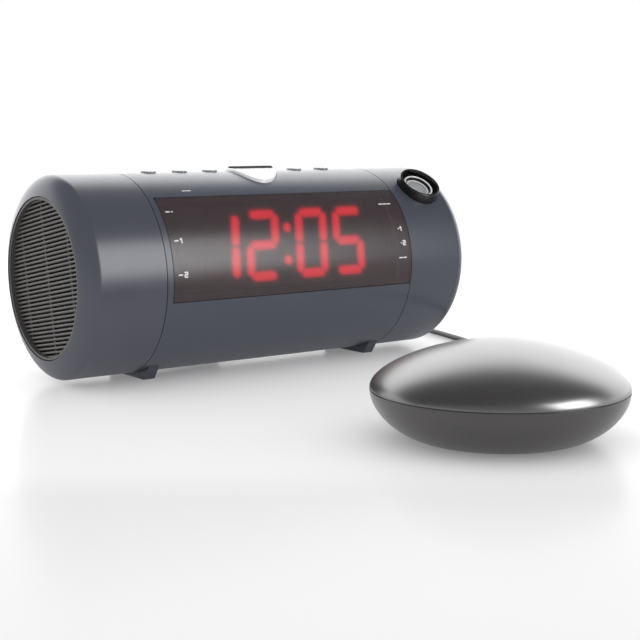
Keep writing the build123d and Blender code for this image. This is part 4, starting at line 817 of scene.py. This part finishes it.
def make_display_glow():
    """A flat grid in front of the lit bars whose glow falls off with distance from their lines.

    The glow is one over one plus the exponential of the distance past the edge, over the fade.
    """
    sides = [
        np.linspace(-size / 2, size / 2, cells + 1) for size, cells in zip(BLOCK_SIZE, GLOW_CELLS)
    ]
    spots = np.stack(np.meshgrid(*sides, indexing="ij"), axis=-1)
    lines = lit_lines()
    start, way = lines[:, 0], lines[:, 1] - lines[:, 0]
    length = np.maximum((way**2).sum(axis=1), 1e-9)
    offset = spots[:, :, None] - start
    share = np.clip((offset * way).sum(axis=-1) / length, 0, 1)
    distance = np.linalg.norm(offset - share[..., None] * way, axis=-1).min(axis=-1)
    glow = 1 / (1 + np.exp(np.minimum((distance - GLOW_EDGE) / GLOW_FADE, 30)))
    glow[glow < GLOW_NIL] = 0
    out = facing(DISPLAY_ANGLE)
    up = np.array([0.0, cos(radians(DISPLAY_ANGLE)), sin(radians(DISPLAY_ANGLE))])
    middle = np.array([DISPLAY_X, AXIS_Y, AXIS_Z]) + out * GLOW_HEIGHT
    points = middle + spots[..., :1] * np.array([1.0, 0, 0]) + spots[..., 1:] * up
    mesh = grid_mesh("display_glow", points * MM)
    attribute = mesh.attributes.new("glow", "FLOAT", "POINT")
    attribute.data.foreach_set("value", glow.ravel().astype(np.float32))
    piece = new_piece("display_glow", mesh, "clock", "glow", "lit")
    piece.visible_glossy = False


make_display_glow()

# Printed marks: plain dots, dashes and numbers beside the display
MARK_THICKNESS = 0.06
MARK_STROKE = 0.7
MARK_END_POINTS = 9
ONE = [((0.0, -1.1), (0.0, 1.1)), ((-0.6, 0.6), (0.0, 1.1))]
TWO = [
    ((-0.7, 1.1), (0.7, 1.1)),
    ((0.7, 1.1), (0.7, 0.0)),
    ((0.7, 0.0), (-0.7, 0.0)),
    ((-0.7, 0.0), (-0.7, -1.1)),
    ((-0.7, -1.1), (0.7, -1.1)),
]
DASH = [((-0.9, 0.0), (0.9, 0.0))]
DOT = [((-0.12, 0.0), (0.12, 0.0))]


def stroke_points(start, end):
    """Rim of a stroke from start to end, each an x and a length round the barrel.

    It is a half circle round each end, turned to the stroke's heading.
    """
    start, end = np.array(start, float), np.array(end, float)
    way = (end - start) / max(np.linalg.norm(end - start), 1e-9)
    heading = np.arctan2(way[1], way[0])
    half = np.linspace(-pi / 2, pi / 2, MARK_END_POINTS)
    turn = np.concatenate([half, half + pi]) + heading
    centres = np.repeat([end, start], MARK_END_POINTS, axis=0)
    return centres + MARK_STROKE / 2 * np.stack([np.cos(turn), np.sin(turn)], axis=-1)


def make_mark(name, x, angle, shapes, radius):
    """White printed strokes on the barrel's curve: each a thin face, and one below it facing in."""
    shape = bmesh.new()
    for shift, strokes in shapes:
        for start, end in strokes:
            rim = stroke_points((x + shift + start[0], start[1]), (x + shift + end[0], end[1]))
            around = angle - np.degrees(rim[:, 1] / BARREL_RADIUS)
            for lift, flip in ((MARK_THICKNESS, False), (0.0, True)):
                points = on_barrel(rim[:, 0], around, radius + lift)
                corners = [shape.verts.new(p) for p in points]
                face = shape.faces.new(corners)
                if flip:
                    face.normal_flip()
    mesh = bpy.data.meshes.new(name)
    shape.to_mesh(mesh)
    shape.free()
    new_piece(name, mesh, "clock", "print", "window")


WINDOW_OUTSIDE = 49.95
LEFT_MARKS_X = -69.4
RIGHT_MARKS_X = 66.0
# Each mark's name, x, angle from the top, shapes with their shifts along x, and radius
MARKS = [
    ("mark_left_top", LEFT_MARKS_X, 50.0, [(-1.1, DASH), (1.3, DOT)], WINDOW_OUTSIDE),
    ("mark_left_one", LEFT_MARKS_X + 0.3, 68.0, [(-1.4, DASH), (1.4, ONE)], WINDOW_OUTSIDE),
    ("mark_left_two", LEFT_MARKS_X + 0.5, 87.0, [(-1.6, DASH), (1.4, TWO)], WINDOW_OUTSIDE),
    ("mark_right_top", 62.0, 50.6, [(-2.8, DASH), (0.0, DASH), (2.8, DASH)], WINDOW_OUTSIDE),
    ("mark_right_one", RIGHT_MARKS_X + 0.6, 68.0, [(-1.2, DOT), (0.6, ONE)], WINDOW_OUTSIDE),
    ("mark_right_two", RIGHT_MARKS_X + 0.8, 77.0, [(-1.2, DOT), (0.8, TWO)], WINDOW_OUTSIDE),
    ("mark_right_low", RIGHT_MARKS_X, 86.0, [(-1.6, DASH), (1.2, DASH)], WINDOW_OUTSIDE),
    ("mark_over_window", -54.0, 34.0, [(-1.2, DASH), (1.4, DASH)], BARREL_RADIUS),
]
for mark in MARKS:
    make_mark(*mark)

# Painted highlights on the projector's lens: bright rings that stand for its reflections
PROJECTOR_ANGLE = 38.0
PROJECTOR_FROM_TIP = 27.6
CELL_TOP = 51.4
LENS_RISE = 49.85
# Each ring's corners: height over its seat, and radius
OUTER_GLINT_RING = [(0, 7.5), (0.35, 7.8), (0.35, 8.25), (0, 8.5)]
INNER_GLINT_RING = [(0, 5.8), (0.4, 6.0), (0.4, 6.3), (0, 6.5)]


def make_lens_glints():
    """Painted highlights: a bevelled bright ring on the lens cell and a thin one on the lens, for
    its ring reflections.
    """
    out = facing(PROJECTOR_ANGLE)
    middle = np.array([TIP_X - PROJECTOR_FROM_TIP, AXIS_Y, AXIS_Z])
    rings = (
        ("lens_outer_glint", CELL_TOP, OUTER_GLINT_RING),
        ("lens_inner_glint", LENS_RISE, INNER_GLINT_RING),
    )
    for name, height, shape in rings:
        profile = [(height + rise, radius) for rise, radius in shape]
        new_piece(name, turned_mesh(name, profile, middle, out), "lens", "bright", "ring")


make_lens_glints()

# Floor, world and lamp
WORLD_LIGHT = 0.92
# The level way from the camera past the object, to the back
BACK_WAY = (0.587, 0.81, 0.0)
# How bright the room looks in a gloss: low behind the object, at its sides, overhead, in front,
# and the turns in degrees, from low behind to low in front, over which one fades to the next
BACK_LIGHT = 2.3
SIDE_LIGHT = 1.4
TOP_LIGHT = 0.15
FRONT_LIGHT = 0.5
BACK_RISE = 1.32
RISE_TURN = (10.0, 42.0)
BACK_TOP = (42.0, 54.0)
FRONT_TOP = (180.0, 110.0)
# How directly a way points back, where the side's light ends and where the back's is whole
SIDE_SPAN = (0.35, 0.8)


def way_back(tree, place):
    """How far a place or a direction goes along BACK_WAY."""
    node = add_node(tree, "ShaderNodeVectorMath", operation="DOT_PRODUCT")
    node.inputs[1].default_value = BACK_WAY
    tree.links.new(place, node.inputs[0])
    return node.outputs["Value"]


# The floor's width and its drop below the feet, in metres
FLOOR_SIZE = 12.0
FLOOR_DROP = 0.00005
FLOOR_TONES = ((0.85, 0.845, 0.845), (0.88, 0.875, 0.875))
FLOOR_ROUGHNESS = 0.22
FLOOR_BEND = 1.08
# The floor's own light, near and far, and the metres along BACK_WAY over which it grows, and
# over which the floor runs out to white
NEAR_LIGHT = 0.095
FAR_LIGHT = 0.215
FAR_SPAN = (-0.2, -0.145)
WHITE_SPAN = (0.45, 1.6)


def floor_paint():
    """Pale paint with a faint polish and a light of its own, which turns to white far back."""
    material, tree, surface = new_finish("floor_paint")
    place = place_of(tree)
    tone = shade_of(tree, noise(tree, place, scale=2.0), *FLOOR_TONES)
    tree.links.new(tone, surface.inputs["Base Color"])
    tree.links.new(tone, surface.inputs["Emission Color"])
    back = way_back(tree, place)
    own = ranged(tree, back, FAR_SPAN, NEAR_LIGHT, FAR_LIGHT)
    tree.links.new(own, surface.inputs["Emission Strength"])
    surface.inputs["Roughness"].default_value = FLOOR_ROUGHNESS
    surface.inputs["IOR"].default_value = FLOOR_BEND
    white = add_node(tree, "ShaderNodeEmission", Strength=1.0)
    fade = ranged(tree, back, WHITE_SPAN, 0.0, 1.0)
    whole = blended(tree, fade, surface.outputs["BSDF"], white.outputs["Emission"])
    tree.links.new(whole, tree.nodes["Material Output"].inputs["Surface"])
    return material


def make_floor():
    """A plain square floor, just under the feet."""
    half = FLOOR_SIZE / 2
    mesh = bpy.data.meshes.new("floor")
    square = ((-half, -half), (half, -half), (half, half), (-half, half))
    mesh.from_pydata([(x, y, -FLOOR_DROP) for x, y in square], [], [(0, 1, 2, 3)])
    mesh.update()
    mesh.materials.append(floor_paint())
    floor = bpy.data.objects.new("floor", mesh)
    bpy.context.scene.collection.objects.link(floor)
    return floor


def room_gloss(tree):
    """Brightness of the room by direction, from its turn over the object, back to front."""
    place = add_node(tree, "ShaderNodeTexCoord").outputs["Generated"]
    back = way_back(tree, place)
    parts = add_node(tree, "ShaderNodeSeparateXYZ")
    tree.links.new(place, parts.inputs[0])
    turn = worked(tree, "ARCTAN2", parts.outputs["Z"], back)
    rise = ranged(tree, turn, [radians(a) for a in RISE_TURN], 1.0, BACK_RISE)
    fall = ranged(tree, turn, [radians(a) for a in BACK_TOP], 1.0, 0.0)
    low_back = worked(tree, "MULTIPLY", rise, fall)
    low_front = ranged(tree, turn, [radians(a) for a in FRONT_TOP], FRONT_LIGHT, TOP_LIGHT)
    straight = ranged(tree, back, SIDE_SPAN, SIDE_LIGHT, BACK_LIGHT)
    return worked(tree, "ADD", worked(tree, "MULTIPLY", low_back, straight), low_front)


def make_world():
    """Soft studio light all round; cameras see white, and gloss sees the room."""
    world = bpy.data.worlds.new("studio")
    bpy.context.scene.world = world
    world.use_nodes = True
    tree = world.node_tree
    tree.nodes.clear()
    rays = add_node(tree, "ShaderNodeLightPath")
    light, gloss, seen = (
        add_node(tree, "ShaderNodeBackground", Color=(1, 1, 1, 1), Strength=strength)
        for strength in (WORLD_LIGHT, 1.0, 1.0)
    )
    tree.links.new(room_gloss(tree), gloss.inputs["Strength"])
    unseen = blended(tree, rays.outputs["Is Glossy Ray"], light.outputs[0], gloss.outputs[0])
    whole = blended(tree, rays.outputs["Is Camera Ray"], unseen, seen.outputs[0])
    output = add_node(tree, "ShaderNodeOutputWorld")
    tree.links.new(whole, output.inputs["Surface"])


# The softbox's place and aim in metres, its width and height in metres, and its power in watts
SOFTBOX_PLACE = (0.38, -0.93, 0.43)
SOFTBOX_AIM = (-0.05, 0.1, 0.05)
SOFTBOX_SIZE = (0.62, 0.72)
SOFTBOX_POWER = 12.5


def add_softbox(floor):
    """A rectangular lamp for the long highlights in the object's gloss, which spares the floor."""
    data = bpy.data.lights.new("front_softbox", "AREA")
    data.shape = "RECTANGLE"
    data.size, data.size_y = SOFTBOX_SIZE
    data.energy = SOFTBOX_POWER
    lamp = bpy.data.objects.new("front_softbox", data)
    lamp.location = SOFTBOX_PLACE
    lamp.visible_diffuse = False
    lamp.visible_camera = False
    lamp.rotation_mode = "QUATERNION"
    way = Vector(SOFTBOX_AIM) - Vector(SOFTBOX_PLACE)
    lamp.rotation_quaternion = way.to_track_quat("-Z", "Y")
    bpy.context.scene.collection.objects.link(lamp)
    spared = bpy.data.collections.new("front_softbox_spares")
    spared.objects.link(floor)
    spared.collection_objects[0].light_linking.link_state = "EXCLUDE"
    lamp.light_linking.receiver_collection = spared


add_softbox(make_floor())
make_world()

bpy.context.scene.view_settings.view_transform = "Standard"
bpy.context.view_layer.update()
